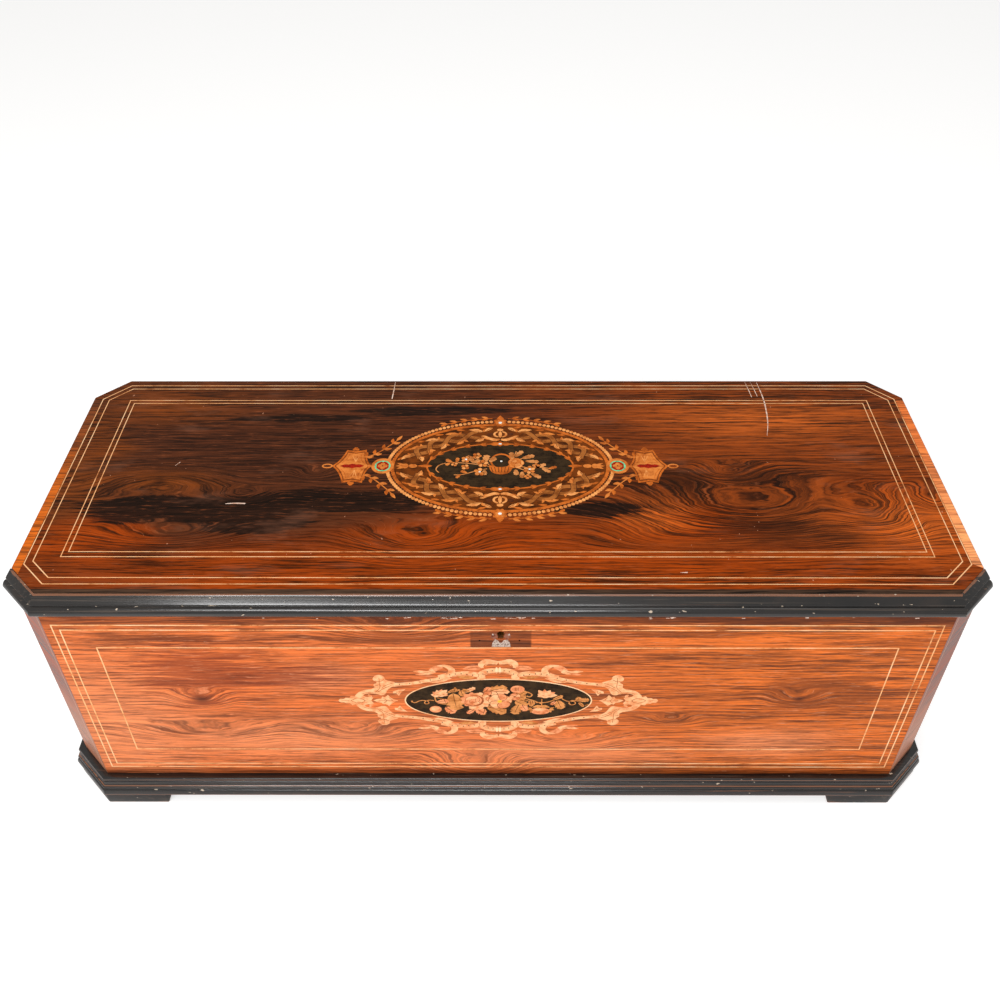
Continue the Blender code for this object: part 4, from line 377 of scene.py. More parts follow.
# Painted glare: a pale peach patch low on the front posts, standing in for light caught on the cants.
painted_glare = post_wood.maths("MULTIPLY", post_wood.fit(height, 0.17, 0.07),
                       post_wood.fit(tone, 0.36, 0.6, 0.5, 1.0))
painted_glare = post_wood.maths("MULTIPLY", painted_glare, post_wood.fit(post_wood.axes()["Y"], 0.02, -0.02))
colour = post_wood.over(colour, painted_glare, 0.55, paint(226, 166, 134))
POST_JOINT_X = 0.3790
from_joint = post_wood.maths("SUBTRACT", post_wood.maths("ABSOLUTE", post_wood.axes()["X"]), POST_JOINT_X)
joints = post_wood.fit(post_wood.maths("ABSOLUTE", from_joint), 0.0007, 0.0004)
colour = post_wood.over(colour, joints, 0.55, paint(240, 190, 150))
colour = post_wood.over(colour, pores, 0.45, paint(66, 26, 10))
post_wood.set("Base Color", colour)
post_wood.set("Roughness", post_wood.fit(tone, 0.3, 0.7, 0.24, 0.40))
post_wood.bump(tone, 0.0001, 0.5)
dress(post_wood.material, "corner_post_front_left", "corner_post_front_right",
      "corner_post_back_left", "corner_post_back_right")


def carcass_wood(name, dark, light, first, second, roughness=0.6):
    """A plain sawn and planed wood, its grain along the first axis."""
    finish = Finish(name, roughness, specular=0.3)
    tone, lines, pores, spot = rosewood(finish, flat_place(finish, first, second), [], 0.03, 420.0, 5.0)
    colour = finish.over(finish.ramp(tone, (0.36, dark), (0.64, light)), lines, 0.35, dark)
    finish.set("Base Color", colour)
    finish.bump(tone, 0.0002, 0.5)
    return finish.material


walnut = carcass_wood("case_walnut", paint(70, 42, 24), paint(112, 72, 42), "X", "Z")
pine_board = carcass_wood("case_pine", paint(150, 104, 58), paint(196, 150, 96), "X", "Y")
dress(walnut, "back_panel")
dress(pine_board, "bottom_board", "bedplate_bearer_left", "bedplate_bearer_right")


# Plinth and lid moulding: beech planed to a moulded section, mitred, stained black and polished.
# A hundred years of handling has rubbed brown wood through at the arrises and left small pale chips.
def smooth_line(points, steps):
    """Points along a smooth curve through the given ones, ends included."""
    line = []
    padded = [points[0], *points, points[-1]]
    for before, start, end, after in zip(padded, padded[1:], padded[2:], padded[3:]):
        for step in range(steps):
            t = step / steps
            line.append(tuple(0.5 * (2 * b + (c - a) * t + (2 * a - 5 * b + 4 * c - d) * t ** 2
                                     + (3 * b - a - 3 * c + d) * t ** 3)
                              for a, b, c, d in zip(before, start, end, after)))
    line.append(tuple(points[-1]))
    return line


def ebonised(name, stretch, worn_heights, sheen=0.20):
    """Black stain over beech, streaked along its length and rubbed brown at the heights given."""
    finish = Finish(name, sheen, specular=0.8)
    streaks = finish.noise(finish.scaled(stretch), 1.0, 4.0, 0.65)
    cloud = finish.noise(finish.place, 30.0, 4.0, 0.6)
    stain = finish.ramp(cloud, (0.34, paint(13, 11, 10)), (0.58, paint(24, 20, 18)),
                        (0.76, paint(44, 33, 26)))
    short = tuple(value * 0.55 for value in stretch)
    chips = finish.noise(finish.scaled(short, (3.0, 1.0, 2.0)), 1.0, 5.0, 0.72)
    colour = finish.over(stain, finish.fit(streaks, 0.54, 0.72), 0.45, paint(96, 82, 70))
    height = finish.axes()["Z"]
    for middle, half in worn_heights:
        near = finish.fit(finish.maths("ABSOLUTE", finish.maths("SUBTRACT", height, middle)), half,
                          half * 0.3)
        rubbed = finish.fit(finish.maths("MULTIPLY_ADD", near, 0.26, chips), 0.64, 0.74)
        colour = finish.over(colour, rubbed, 0.85, paint(132, 84, 56))
    specks = finish.fit(finish.noise(finish.scaled((150.0, 300.0, 300.0)), 1.0, 2.0, 0.6), 0.70, 0.74)
    colour = finish.over(colour, specks, 0.8, paint(206, 186, 164))
    finish.set("Base Color", colour)
    finish.set("Roughness", finish.maths("MULTIPLY_ADD", streaks, 0.16, sheen - 0.06))
    finish.bump(finish.maths("SUBTRACT", streaks, finish.maths("MULTIPLY", specks, 0.8)), 0.00012, 0.35)
    return finish.material


LENGTHWAYS, ALL_WAYS = (5.0, 420.0, 420.0), (60.0, 60.0, 160.0)
lid_black = ebonised("ebonised_lid_moulding", LENGTHWAYS, [(LID_TOP, 0.0016), (0.2612, 0.0026)])
plinth_black = ebonised("ebonised_plinth", LENGTHWAYS,
                        [(0.0337, 0.0005), (0.0258, 0.0006), (0.0158, 0.0007)])
foot_black = ebonised("ebonised_foot", ALL_WAYS, [(0.0, 0.0030)], 0.34)
inner_black = ebonised("ebonised_inside", LENGTHWAYS, [], 0.26)


def finish_piece(name, shape, body, material, smooth_angle=None):
    """Turns a built shape into a piece that rides on a body."""
    bmesh.ops.recalc_face_normals(shape, faces=shape.faces)
    mesh = bpy.data.meshes.new(name)
    shape.to_mesh(mesh)
    shape.free()
    if smooth_angle:
        mesh.shade_smooth()
        mesh.set_sharp_from_angle(angle=math.radians(smooth_angle))
    mesh.materials.append(material)
    piece = bpy.data.objects.new(name, mesh)
    scene.collection.objects.link(piece)
    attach(piece, body)
    return piece


def run_moulding(name, path, profile, body, material, stands_for):
    """Runs a section along a path with mitred corners, its ends cut square to their stretch."""
    path = [Vector(point) for point in path]
    ways = [(end - start).normalized() for start, end in zip(path, path[1:])]
    sides = [Vector((way.y, -way.x)) for way in ways]
    mitres = [sides[0], *[(a + b) / (1 + a.dot(b)) for a, b in zip(sides, sides[1:])], sides[-1]]
    shape = bmesh.new()
    verts = [shape.verts.new((*(path[0] + mitres[0] * out), height)) for out, height in profile]
    shape.faces.new(verts)
    for corner, mitre in zip(path[1:], mitres[1:]):
        before = list(verts)
        grown = bmesh.ops.extrude_edge_only(shape, edges=[shape.edges.get(pair) for pair in
                                                          zip(before, before[1:] + before[:1])])["geom"]
        fresh = {vert for vert in grown if isinstance(vert, bmesh.types.BMVert)}
        verts = [next(edge.other_vert(vert) for edge in vert.link_edges if edge.other_vert(vert) in fresh)
                 for vert in before]
        for vert, (out, height) in zip(verts, profile):
            vert.co = (*(corner + mitre * out), height)
    shape.faces.new(verts)
    piece = finish_piece(name, shape, body, material, 38.0)
    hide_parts(stands_for)


def section(shares, out, height, base_out, base_height):
    """A moulding's rounded section from its shares of depth and height."""
    body = [(min(x, 1.0), y) for x, y in smooth_line(shares, 3)]
    return [(base_out + x * out, base_height + y * height) for x, y in body] + [(base_out, base_height)]


PLINTH_OUT, LID_OUT, GAP, CANT, LID_CANT = 0.0115, 0.0118, 0.0003, 0.030, 0.0284
CASE_SIDE, LID_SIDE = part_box("side_panel_right")[1].x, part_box("lid_panel")[1].x
side, face = CASE_SIDE, CASE_FRONT
run_moulding("plinth_run", [(-side, CASE_BACK - CANT), (-side, face + CANT), (-side + CANT, face),
                            (side - CANT, face), (side, face + CANT), (side, CASE_BACK - CANT)],
             section([(0.0, 1.0), (0.30, 1.0), (0.50, 0.985), (0.575, 0.93), (0.59, 0.86), (0.545, 0.79),
                      (0.50, 0.755), (0.50, 0.735), (0.56, 0.71), (0.57, 0.62), (0.66, 0.54), (0.79, 0.49),
                      (0.84, 0.42), (0.80, 0.345), (0.80, 0.325), (0.88, 0.30), (0.96, 0.22), (1.0, 0.12),
                      (1.0, 0.03), (0.97, 0.0)], PLINTH_OUT - GAP,
                     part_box("plinth_moulding")[1].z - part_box("plinth_moulding")[0].z, GAP,
                     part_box("plinth_moulding")[0].z), "root", plinth_black, "plinth_moulding")
side, face = LID_SIDE, LID_FRONT
run_moulding("lid_run", [(-side, face + LID_CANT), (-side + LID_CANT, face), (side - LID_CANT, face),
                         (side, face + LID_CANT)], section([(0.0, 1.0), (0.05, 1.0), (0.11, 0.985),
                                                            (0.16, 0.955), (0.28, 0.895), (0.42, 0.822),
                                                            (0.56, 0.745), (0.62, 0.70), (0.60, 0.665),
                                                            (0.62, 0.645), (0.72, 0.64), (0.84, 0.59),
                                                            (0.94, 0.51), (0.99, 0.44), (1.0, 0.38),
                                                            (0.97, 0.32), (0.88, 0.25), (0.76, 0.19),
                                                            (0.62, 0.14), (0.44, 0.10), (0.39, 0.075),
                                                            (0.36, 0.0)], LID_OUT - GAP,
                                                           LID_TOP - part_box("lid_panel")[0].z, GAP,
                                                           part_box("lid_panel")[0].z), "lid", lid_black,
             "lid_moulding")


# Bracket feet: blocks of the same black beech glued under the plinth's corners, their arrises worn round.
for foot in ("foot_front_left", "foot_front_right", "foot_back_left", "foot_back_right"):
    shape = bmesh.new()
    shape.from_mesh(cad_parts[foot].data)
    bmesh.ops.remove_doubles(shape, verts=shape.verts, dist=0.00002)
    bmesh.ops.dissolve_limit(shape, angle_limit=math.radians(1.0), verts=shape.verts, edges=shape.edges)
    worn = [edge for edge in shape.edges if len(edge.link_faces) == 2 and edge.calc_face_angle() > 0.3
            and max(vert.co.z for vert in edge.verts) < 0.002]
    bmesh.ops.bevel(shape, geom=worn, offset=0.0032, affect="EDGES", segments=3, profile=0.5, material=-1,
                    clamp_overlap=True)
    piece = finish_piece(f"{foot}_worn", shape, "root", foot_black, 40.0)
    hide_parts(foot)
dress(foot_black, "foot_front_left", "foot_front_right", "foot_back_left", "foot_back_right")
dress(lid_black, "lid_moulding")
dress(plinth_black, "plinth_moulding")


# Stringing: boxwood lines about a millimetre wide, let into the veneer and mitred at the corners.
# The lid has a canted pair and a square pair, the front has a square pair and a single line.
MM = 0.001
boxwood = Finish("boxwood_line", 0.45, specular=0.08)
worn = boxwood.noise(boxwood.scaled((30.0, 30.0, 30.0)), 1.0, 5.0, 0.75)
boxwood.set("Base Color", boxwood.ramp(worn, (0.34, paint(176, 104, 56)), (0.46, paint(244, 176, 116)),
                                       (0.70, paint(255, 216, 170))))
boxwood.bump(worn, 0.0001, 0.4)


def lid_spot(across, back, height=0.0):
    """A place on the lid from the middle of its marquetry, in millimetres."""
    return Vector((0.0022 + across * MM, 0.0176 + back * MM, LID_TOP + height * MM))


def front_spot(across, up, height=0.0):
    """A place on the case's front from the middle of its marquetry, in millimetres."""
    return Vector((0.0008 + across * MM, CASE_FRONT - height * MM, 0.1482 + up * MM))


def lay_plate(shape, outline, spot, low, high):
    """A flat piece cut to an outline, let into the ground and standing a hair above it."""
    face = shape.faces.new([shape.verts.new(spot(*point, low)) for point in outline])
    grown = bmesh.ops.extrude_face_region(shape, geom=[face], use_keep_orig=True)["geom"]
    bmesh.ops.translate(shape, verts=[item for item in grown if isinstance(item, bmesh.types.BMVert)],
                        vec=spot(0.0, 0.0, high) - spot(0.0, 0.0, low))


def lay_ring(shape, outer, inner, spot, low, high):
    """A flat ring between two outlines with the same number of points."""
    loops = []
    for outline in (outer, inner):
        verts = [shape.verts.new(spot(*point, low)) for point in outline]
        loops += [shape.edges.new(pair) for pair in zip(verts, verts[1:] + verts[:1])]
    faces = bmesh.ops.bridge_loops(shape, edges=loops)["faces"]
    grown = bmesh.ops.extrude_face_region(shape, geom=faces, use_keep_orig=True)["geom"]
    bmesh.ops.translate(shape, verts=[item for item in grown if isinstance(item, bmesh.types.BMVert)],
                        vec=spot(0.0, 0.0, high) - spot(0.0, 0.0, low))


def frame_line(left, right, low, high, leg=0.0):
    """A rectangle's outline, with its corners cut by a leg if one is given."""
    if not leg:
        return [(left, low), (right, low), (right, high), (left, high)]
    return [(left + leg, low), (right - leg, low), (right, low + leg), (right, high - leg),
            (right - leg, high), (left + leg, high), (left, high - leg), (left, low + leg)]


def lid_place(x, y, height=0.0):
    return Vector((x, y, LID_TOP + height * MM))


def front_place(x, z, height=0.0):
    return Vector((x, CASE_FRONT - height * MM, z))


strings = bmesh.new()
LID_LINE, FRONT_LINE = 0.0008, 0.0011
for half, near, far, leg in ((0.3918, -0.1315, 0.1435, 0.0228), (0.3854, -0.1243, 0.1380, 0.0190),
                             (0.3641, -0.1003, 0.1187, 0.0), (0.3592, -0.0944, 0.1139, 0.0)):
    inner_leg = leg and leg - LID_LINE * 0.41
    inner = frame_line(-half + LID_LINE, half - LID_LINE, near + LID_LINE, far - LID_LINE, inner_leg)
    lay_ring(strings, frame_line(-half, half, near, far, leg), inner, lid_place, -0.3, 0.05)
finish_piece("lid_stringing", strings, "lid", boxwood.material)

strings = bmesh.new()
for half, low, high in ((0.3675, 0.0455, 0.2490), (0.3616, 0.0510, 0.2430), (0.3370, 0.0742, 0.2206)):
    inner = frame_line(-half + FRONT_LINE, half - FRONT_LINE, low + FRONT_LINE, high - FRONT_LINE)
    lay_ring(strings, frame_line(-half, half, low, high), inner, front_place, -0.3, 0.05)
finish_piece("front_stringing", strings, "root", boxwood.material)


# Marquetry woods: maple shaded in hot sand, tulipwood, a brown pearwood and ebony.
# Each piece is knife cut, laid in glue and scraped level with the ground around it.
def inlay_wood(name, dark, light, size, roughness=0.45):
    finish = Finish(name, roughness, specular=0.06)
    tint = finish.noise(finish.place, size, 4.0, 0.65)
    streak = finish.noise(finish.scaled((60.0, 900.0, 900.0)), 1.0, 2.0)
    tone = finish.maths("MULTIPLY_ADD", tint, 0.75, finish.maths("MULTIPLY", streak, 0.25))
    finish.set("Base Color", finish.ramp(tone, (0.38, dark), (0.56, light)))
    finish.bump(streak, 0.0001, 0.4)
    return finish.material


maple = inlay_wood("shaded_maple", paint(228, 138, 84), paint(255, 192, 140), 150.0)
maple_pale = inlay_wood("pale_maple", paint(246, 176, 120), paint(255, 214, 168), 90.0)
peach_wood = inlay_wood("peach_tulipwood", paint(206, 110, 62), paint(246, 160, 110), 150.0)
tan_wood = inlay_wood("tan_pearwood", paint(170, 98, 44), paint(226, 150, 86), 130.0)
rose_brown = inlay_wood("shaded_brown", paint(104, 50, 22), paint(176, 92, 48), 160.0)
warm_gold = inlay_wood("lid_satinwood", paint(176, 88, 30), paint(228, 134, 60), 140.0)
pale_gold = inlay_wood("lid_pale_satinwood", paint(204, 116, 52), paint(248, 168, 96), 150.0)
orange_wood = inlay_wood("orange_padauk", paint(150, 70, 18), paint(212, 110, 38), 140.0)
field_brown = inlay_wood("brown_field", paint(62, 28, 4), paint(118, 56, 10), 90.0)
ribbon_brown = inlay_wood("ribbon_pearwood", paint(126, 66, 22), paint(176, 104, 46), 130.0)
red_wood = inlay_wood("red_stained_wood", paint(120, 20, 6), paint(176, 34, 12), 200.0)
ebony = inlay_wood("ebony_ground", paint(30, 19, 9), paint(60, 43, 24), 110.0, 0.40)
green_stain = inlay_wood("green_stained_wood", paint(60, 170, 120), paint(120, 226, 176), 300.0)
engraved = inlay_wood("engraved_line", paint(160, 84, 42), paint(200, 116, 66), 200.0, 0.6)
ink_line = inlay_wood("dark_engraved_line", paint(60, 28, 12), paint(96, 48, 22), 200.0, 0.6)
white_bone = inlay_wood("bone_dot", paint(226, 224, 216), paint(250, 250, 244), 300.0, 0.35)
yellow_stain = inlay_wood("yellow_stained_wood", paint(236, 176, 50), paint(252, 214, 90), 300.0)


def oval(centre, reach, count=24, turn=0.0):
    """The outline of an ellipse, turned about its middle."""
    cosine, sine = math.cos(turn), math.sin(turn)
    points = []
    for index in range(count):
        x, y = reach[0] * math.cos(math.tau * index / count), reach[1] * math.sin(math.tau * index / count)
        points.append((centre[0] + x * cosine - y * sine, centre[1] + x * sine + y * cosine))
    return points


def ribbon(points, widths, steps=5):
    """The outline of a strap that follows a smooth curve, its width changing from end to end."""
    if isinstance(widths, (int, float)):
        widths = [widths] * len(points)
    spine = smooth_line([(*point, width) for point, width in zip(points, widths)], steps)
    left, right = [], []
    for index, (x, y, width) in enumerate(spine):
        before, after = spine[max(index - 1, 0)], spine[min(index + 1, len(spine) - 1)]
        run = Vector((after[0] - before[0], after[1] - before[1])).normalized()
        left.append((x - run.y * width / 2, y + run.x * width / 2))
        right.append((x + run.y * width / 2, y - run.x * width / 2))
    return left + right[::-1]


def leaf(base, tip, width, bend=0.0):
    """A pointed leaf between two places, leaning to one side by its bend."""
    base, tip = Vector(base), Vector(tip)
    side = Vector((base.y - tip.y, tip.x - base.x)).normalized()
    middle = [base.lerp(tip, share) + side * bend * math.sin(math.pi * share) for share in (0.14, 0.38,
                                                                                            0.66, 0.88)]
    half = [width * share for share in (0.26, 0.50, 0.40, 0.17)]
    left = [point + side * out for point, out in zip(middle, half)]
    right = [point - side * out for point, out in zip(middle, half)]
    return [tuple(point) for point in (base, *left, tip, *right[::-1])]


def toothed_leaf(base, tip, width, teeth=4):
    """A broad leaf with a saw edge, as the knife cuts it."""
    base, tip = Vector(base), Vector(tip)
    side = Vector((base.y - tip.y, tip.x - base.x)).normalized()
    edge = []
    for index in range(teeth):
        share, next_share = 0.12 + 0.78 * index / teeth, 0.12 + 0.78 * (index + 0.8) / teeth
        swell = width / 2 * math.sin(math.pi * (0.22 + 0.66 * index / teeth)) ** 0.8
        edge += [(share, swell * 0.80), (next_share, swell * 1.12)]
    left = [base.lerp(tip, share) + side * out for share, out in edge]
    right = [base.lerp(tip, share) - side * out for share, out in edge]
    return [tuple(point) for point in (base, *left, tip, *right[::-1])]


def lobed(centre, reach, lobes, depth, turn=0.0, count=6):
    """A rounded flower or leaf outline whose edge swells into lobes."""
    points = []
    for index in range(lobes * count):
        angle = math.tau * index / (lobes * count)
        swell = 1 - depth * abs(math.cos(lobes * angle / 2)) ** 3
        points.append((centre[0] + reach[0] * swell * math.cos(angle + turn),
                       centre[1] + reach[1] * swell * math.sin(angle + turn)))
    return points


def closed(points, steps=3):
    """A smooth outline through the given places and back to the first."""
    return smooth_line([*points, points[0]], steps)[:-1]


def flipped(outline, across=1, up=1):
    return [(x * across, y * up) for x, y in outline]


LEVEL_STEP, SHAVING, SHAVINGS, LET_IN = 0.022, 0.0005, 23, -0.2


class Marquetry:
    """Plates of several woods let into one face, each wood a little above the one under it."""

    def __init__(self, name, body, spot):
        self.name, self.body, self.spot, self.woods, self.laid = name, body, spot, {}, 0

    def height(self, level):
        """Plates of one level still differ by a shaving, so that no two faces lie in one plane."""
        self.laid += 1
        return LEVEL_STEP * level + SHAVING * (self.laid % SHAVINGS)

    def lay(self, wood, level, *outlines):
        shape = self.woods.setdefault(wood, bmesh.new())
        for outline in outlines:
            lay_plate(shape, outline, self.spot, LET_IN, self.height(level))

    def ring(self, wood, level, outer, inner):
        lay_ring(self.woods.setdefault(wood, bmesh.new()), outer, inner, self.spot, LET_IN,
                 self.height(level))

    def finish(self):
        for wood, shape in self.woods.items():
            finish_piece(f"{self.name}_{wood.name}", shape, self.body, wood)


# Front marquetry: a strapwork cartouche of shaded maple round an ebony oval with a bunch of flowers.
# The straps are pierced with a row of dots and end in leaf scrolls, bows and forked ribbons.
front = Marquetry("front_marquetry", "root", front_spot)
front.ring(maple_pale, 2, oval((0, 0), (83.0, 30.8), 96), oval((0, 0), (81.8, 29.6), 96))
front.lay(ebony, 1, oval((0, 0), (82.2, 30.0), 96))

quarter = {
    "tip_scroll": ribbon([(-117, 1.0), (-121, 3.2), (-122.5, 7.4), (-118.5, 11.6), (-112, 13.2), (-105, 12.4)],
                         [3.0, 6.0, 5.6, 5.2, 5.6, 7.0]),
    "volute": ribbon([(-121, 9.0), (-119.4, 5.0), (-115, 3.6), (-112.6, 6.4), (-114.6, 8.4)], [3.0, 3.4, 3.0, 2.6, 1.6], 4),
    "clump": closed([(-113, 11), (-112, 15.5), (-108.5, 18.5), (-108.5, 23.0), (-105.5, 25.5), (-108.8, 29.5), (-107.0, 34.4),
                     (-102.6, 36.0), (-98.8, 33.6), (-98.0, 29.4), (-94.0, 27.6), (-90.0, 25.6), (-88.5, 21.6), (-93.5, 19.0),
                     (-97.0, 15.0), (-99.4, 9.4), (-103.0, 7.8), (-107.0, 9.6)]),
    "arm": ribbon([(-94, 22.2), (-82, 23.4), (-71, 25.2), (-61, 28.0), (-51, 31.4), (-43, 35.2)],
                  [5.6, 4.4, 4.6, 5.2, 5.4, 6.0]),
    "arm_leaf": leaf((-64, 27.4), (-40, 31.6), 5.6, -1.4),
    "ribbon_fold": ribbon([(-52, 33.4), (-45.5, 34.8), (-40.5, 38.6), (-40.4, 44.0), (-44.8, 48.0), (-52, 48.6)],
                          [4.4, 6.4, 6.2, 5.6, 3.8, 0.8]),
    "ribbon_back": ribbon([(-47.6, 47.4), (-53, 45.4), (-57.6, 41.0)], [4.0, 6.4, 5.4], 4),
    "ribbon_tail": ribbon([(-55, 41.6), (-61, 38.6), (-67.5, 40.4), (-73, 40.8)], [5.0, 4.8, 3.4, 0.6], 4),
    "ribbon_fork": leaf((-60, 39.0), (-72, 36.4), 3.2, 0.5),
    "strap": ribbon([(-44, 35.4), (-34, 37.2), (-26, 37.8), (-17.5, 36.0)], [4.8, 6.2, 6.6, 5.6]),
    "strap_leaf": leaf((-36, 34.2), (-20, 32.6), 4.4, -1.0),
    "strap_scroll": ribbon([(-21, 36.4), (-15.6, 35.4), (-13.0, 32.2), (-16.4, 30.6), (-18.0, 32.6)],
                           [5.0, 5.2, 4.0, 2.6, 1.6], 4),
    "arch": ribbon([(-17.2, 33.0), (-13.5, 38.2), (-7.6, 41.4), (0.2, 42.4)], [5.8, 6.8, 6.8, 6.2]),
    "bow": ribbon([(-13.6, 45.6), (-14.2, 49.8), (-10.2, 53.4), (-5.2, 53.0), (-0.5, 51.8)], [2.0, 6.4, 7.4, 6.0, 5.4]),
    "side_bow": closed([(-30.5, 44.0), (-26.0, 47.8), (-18.5, 48.6), (-13.4, 46.8), (-17.0, 43.0), (-24.0, 42.6)]),
}
tip = closed([(-141.5, 0), (-139.8, 2.6), (-136.6, 2.4), (-134.8, 4.0), (-131.6, 3.8), (-130.0, 6.6),
              (-126.6, 5.6), (-125.2, 9.0), (-122.4, 6.2), (-117.4, 3.6), (-110.4, 4.4), (-112.6, 0.0),
              (-110.4, -4.4), (-117.4, -3.6), (-122.4, -6.2), (-125.2, -9.0), (-126.6, -5.6),
              (-130.0, -6.6), (-131.6, -3.8), (-134.8, -4.0), (-136.6, -2.4), (-139.8, -2.6)], 2)
star = [(-110.8, 0.4), (-107.0, 2.2), (-103.4, 3.2), (-102.4, 5.8), (-100.2, 4.6), (-97.2, 8.2),
        (-95.4, 4.4), (-91.0, 1.0), (-88.8, 0.0), (-91.0, -1.0), (-94.6, -4.4), (-97.2, -7.8),
        (-100.2, -4.6), (-102.4, -5.4), (-103.4, -3.2), (-107.0, -2.2)]
dart = [(-92.6, 13.0), (-87.6, 15.4), (-81.4, 16.0), (-84.6, 12.6), (-87.6, 7.0), (-89.6, 10.6),
        (-92.4, 10.4)]
arm_dots = [(-42 + 5.0 * index, 36.4 + 1.2 * math.sin(index * 0.9)) for index in range(5)]
arm_dots += [(-13.2, 37.4), (-9.4, 40.4), (-5.0, 41.8), (-86, 23.2), (-77, 24.4), (-68, 26.2), (-59, 29.2),
             (-51, 31.8)]
strokes = [[(-120.0, 9.6), (-114, 11.6), (-107, 10.6)],
           [(-108, 12), (-103.6, 18), (-103.4, 26), (-103.2, 32)], [(-106, 12), (-100, 17.4), (-93, 21.6)],
           [(-107.0, 28), (-103.4, 26.8), (-99.0, 29.6)], [(-108, 21), (-104.6, 22.0)],
           [(-92, 24.4), (-96.6, 22.6), (-101.6, 18.4)],
           [(-90, 21.0), (-76, 22.0), (-62, 25.4), (-48, 29.8)], [(-62, 30.4), (-52, 33.4)],
           [(-44.6, 37.4), (-43.6, 42.0), (-47.6, 46.0)], [(-40, 34.4), (-30, 35.0), (-22, 34.8)],
           [(-18.6, 38.6), (-16.8, 36.6), (-17.4, 33.6)],
           [(-12.6, 47), (-10.6, 50.2), (-5, 50.4), (0, 49.2)], [(-26, 45.2), (-20, 46.2), (-15, 45.4)],
           [(-13, 36.0), (-7.6, 38.6), (0, 39.6)], [(-58, 40.6), (-64, 38.6), (-70, 38.8)],
           [(-115.6, 5.2), (-114.2, 6.8)]]
tip_strokes = [[(-106, 0), (-93, 0)], [(-101.5, 3.6), (-98.5, 0)], [(-101.5, -3.6), (-98.5, 0)],
               [(-96.6, 4.6), (-94.0, 0.8)], [(-139, 0), (-132, 0)]]
LEVELS = {"arm_leaf": 3, "clump": 3.5, "arch": 4, "strap_scroll": 3, "ribbon_fold": 4.5, "side_bow": 1,
          "volute": 4.5, "ribbon_back": 1.4}
WOODS = {"side_bow": peach_wood, "strap_leaf": tan_wood, "ribbon_back": peach_wood,
         "ribbon_fork": peach_wood}
for across in (-1, 1):
    front.lay(maple, 2, flipped(tip, -across), flipped(star, -across))
    front.ring(engraved, 6, flipped(closed([(-131, 0), (-124, 4.0), (-117.6, 0), (-124, -4.0)], 3),
                                    -across), flipped(closed([(-130.2, 0), (-124, 3.4), (-118.4, 0),
                                                              (-124, -3.4)], 3), -across))
    front.lay(engraved, 6, *[flipped(ribbon(points, 0.5, 2), -across) for points in tip_strokes])
    for up in (-1, 1):
        front.lay(maple, 2, flipped(dart, -across, up))
        front.lay(engraved, 5, flipped(ribbon([(-89.8, 12.4), (-87.4, 10.0)], 0.5, 2), -across, up),
                  flipped(ribbon([(-86.8, 13.6), (-87.4, 10.0)], 0.5, 2), -across, up))
        for name, outline in quarter.items():
            front.lay(WOODS.get(name, maple), LEVELS.get(name, 2), flipped(outline, -across, up))
        front.lay(engraved, 6, *[flipped(ribbon(points, 0.55, 3), -across, up) for points in strokes])
        front.lay(ink_line, 6, *[flipped(oval(dot, (0.5, 0.75), 8), -across, up) for dot in arm_dots])
for up in (-1, 1):
    for place in (-1.4, 1.4):
        front.lay(maple_pale, 6, flipped(oval((place, 42.4), (1.2, 4.2), 12), 1, up))

# A bunch of flowers on the oval: a rose, a pansy and bell flowers with toothed leaves on trailing stems.
stems = [([(-77, -1.6), (-74, -3.0), (-70, -0.4), (-66.2, 0.4), (-62.4, -1.0), (-61.8, -4.0), (-64.8, -4.6),
           (-65.2, -1.8), (-61.0, 0.8), (-57.0, 0.0)], 1.0), ([(-77.4, -1.0), (-75.6, -1.0)], 1.6),
         ([(-56, 6), (-55, -1), (-50, -4.6), (-42, -4.0), (-36, -1.0)], 1.2),
         ([(-54, 4), (-48, 2.0), (-40, 1.0)], 1.0), ([(15, 3.0), (22, 3.6), (28, 1.6), (33, -1.0),
                                                      (38.4, -4.4)], 1.0), ([(15, 1.0), (23, 1.0),
                                                                             (29, -1.6)], 0.9),
         ([(38.4, 2.6), (38.4, -4.4), (38.4, -9.0)], 0.9),
         ([(33, -2.6), (42, -2.4), (50, 1.4), (56.6, 4.6)], 1.2),
         ([(56, 3.0), (61, -0.6), (67, -1.0), (68.2, -4.4), (65.0, -6.0), (62.6, -3.4), (64.4, 0.2),
           (69, 0.2), (73, -0.6)], 1.0), ([(21.6, 13.4), (26, 12.0), (29.6, 8.8), (27.8, 5.6), (24.8, 6.6)],
                                          1.3), ([(77, -7.0), (80, -5.0)], 1.0)]
for points, width in stems:
    front.lay(tan_wood, 2.5, ribbon(points, width, 4))
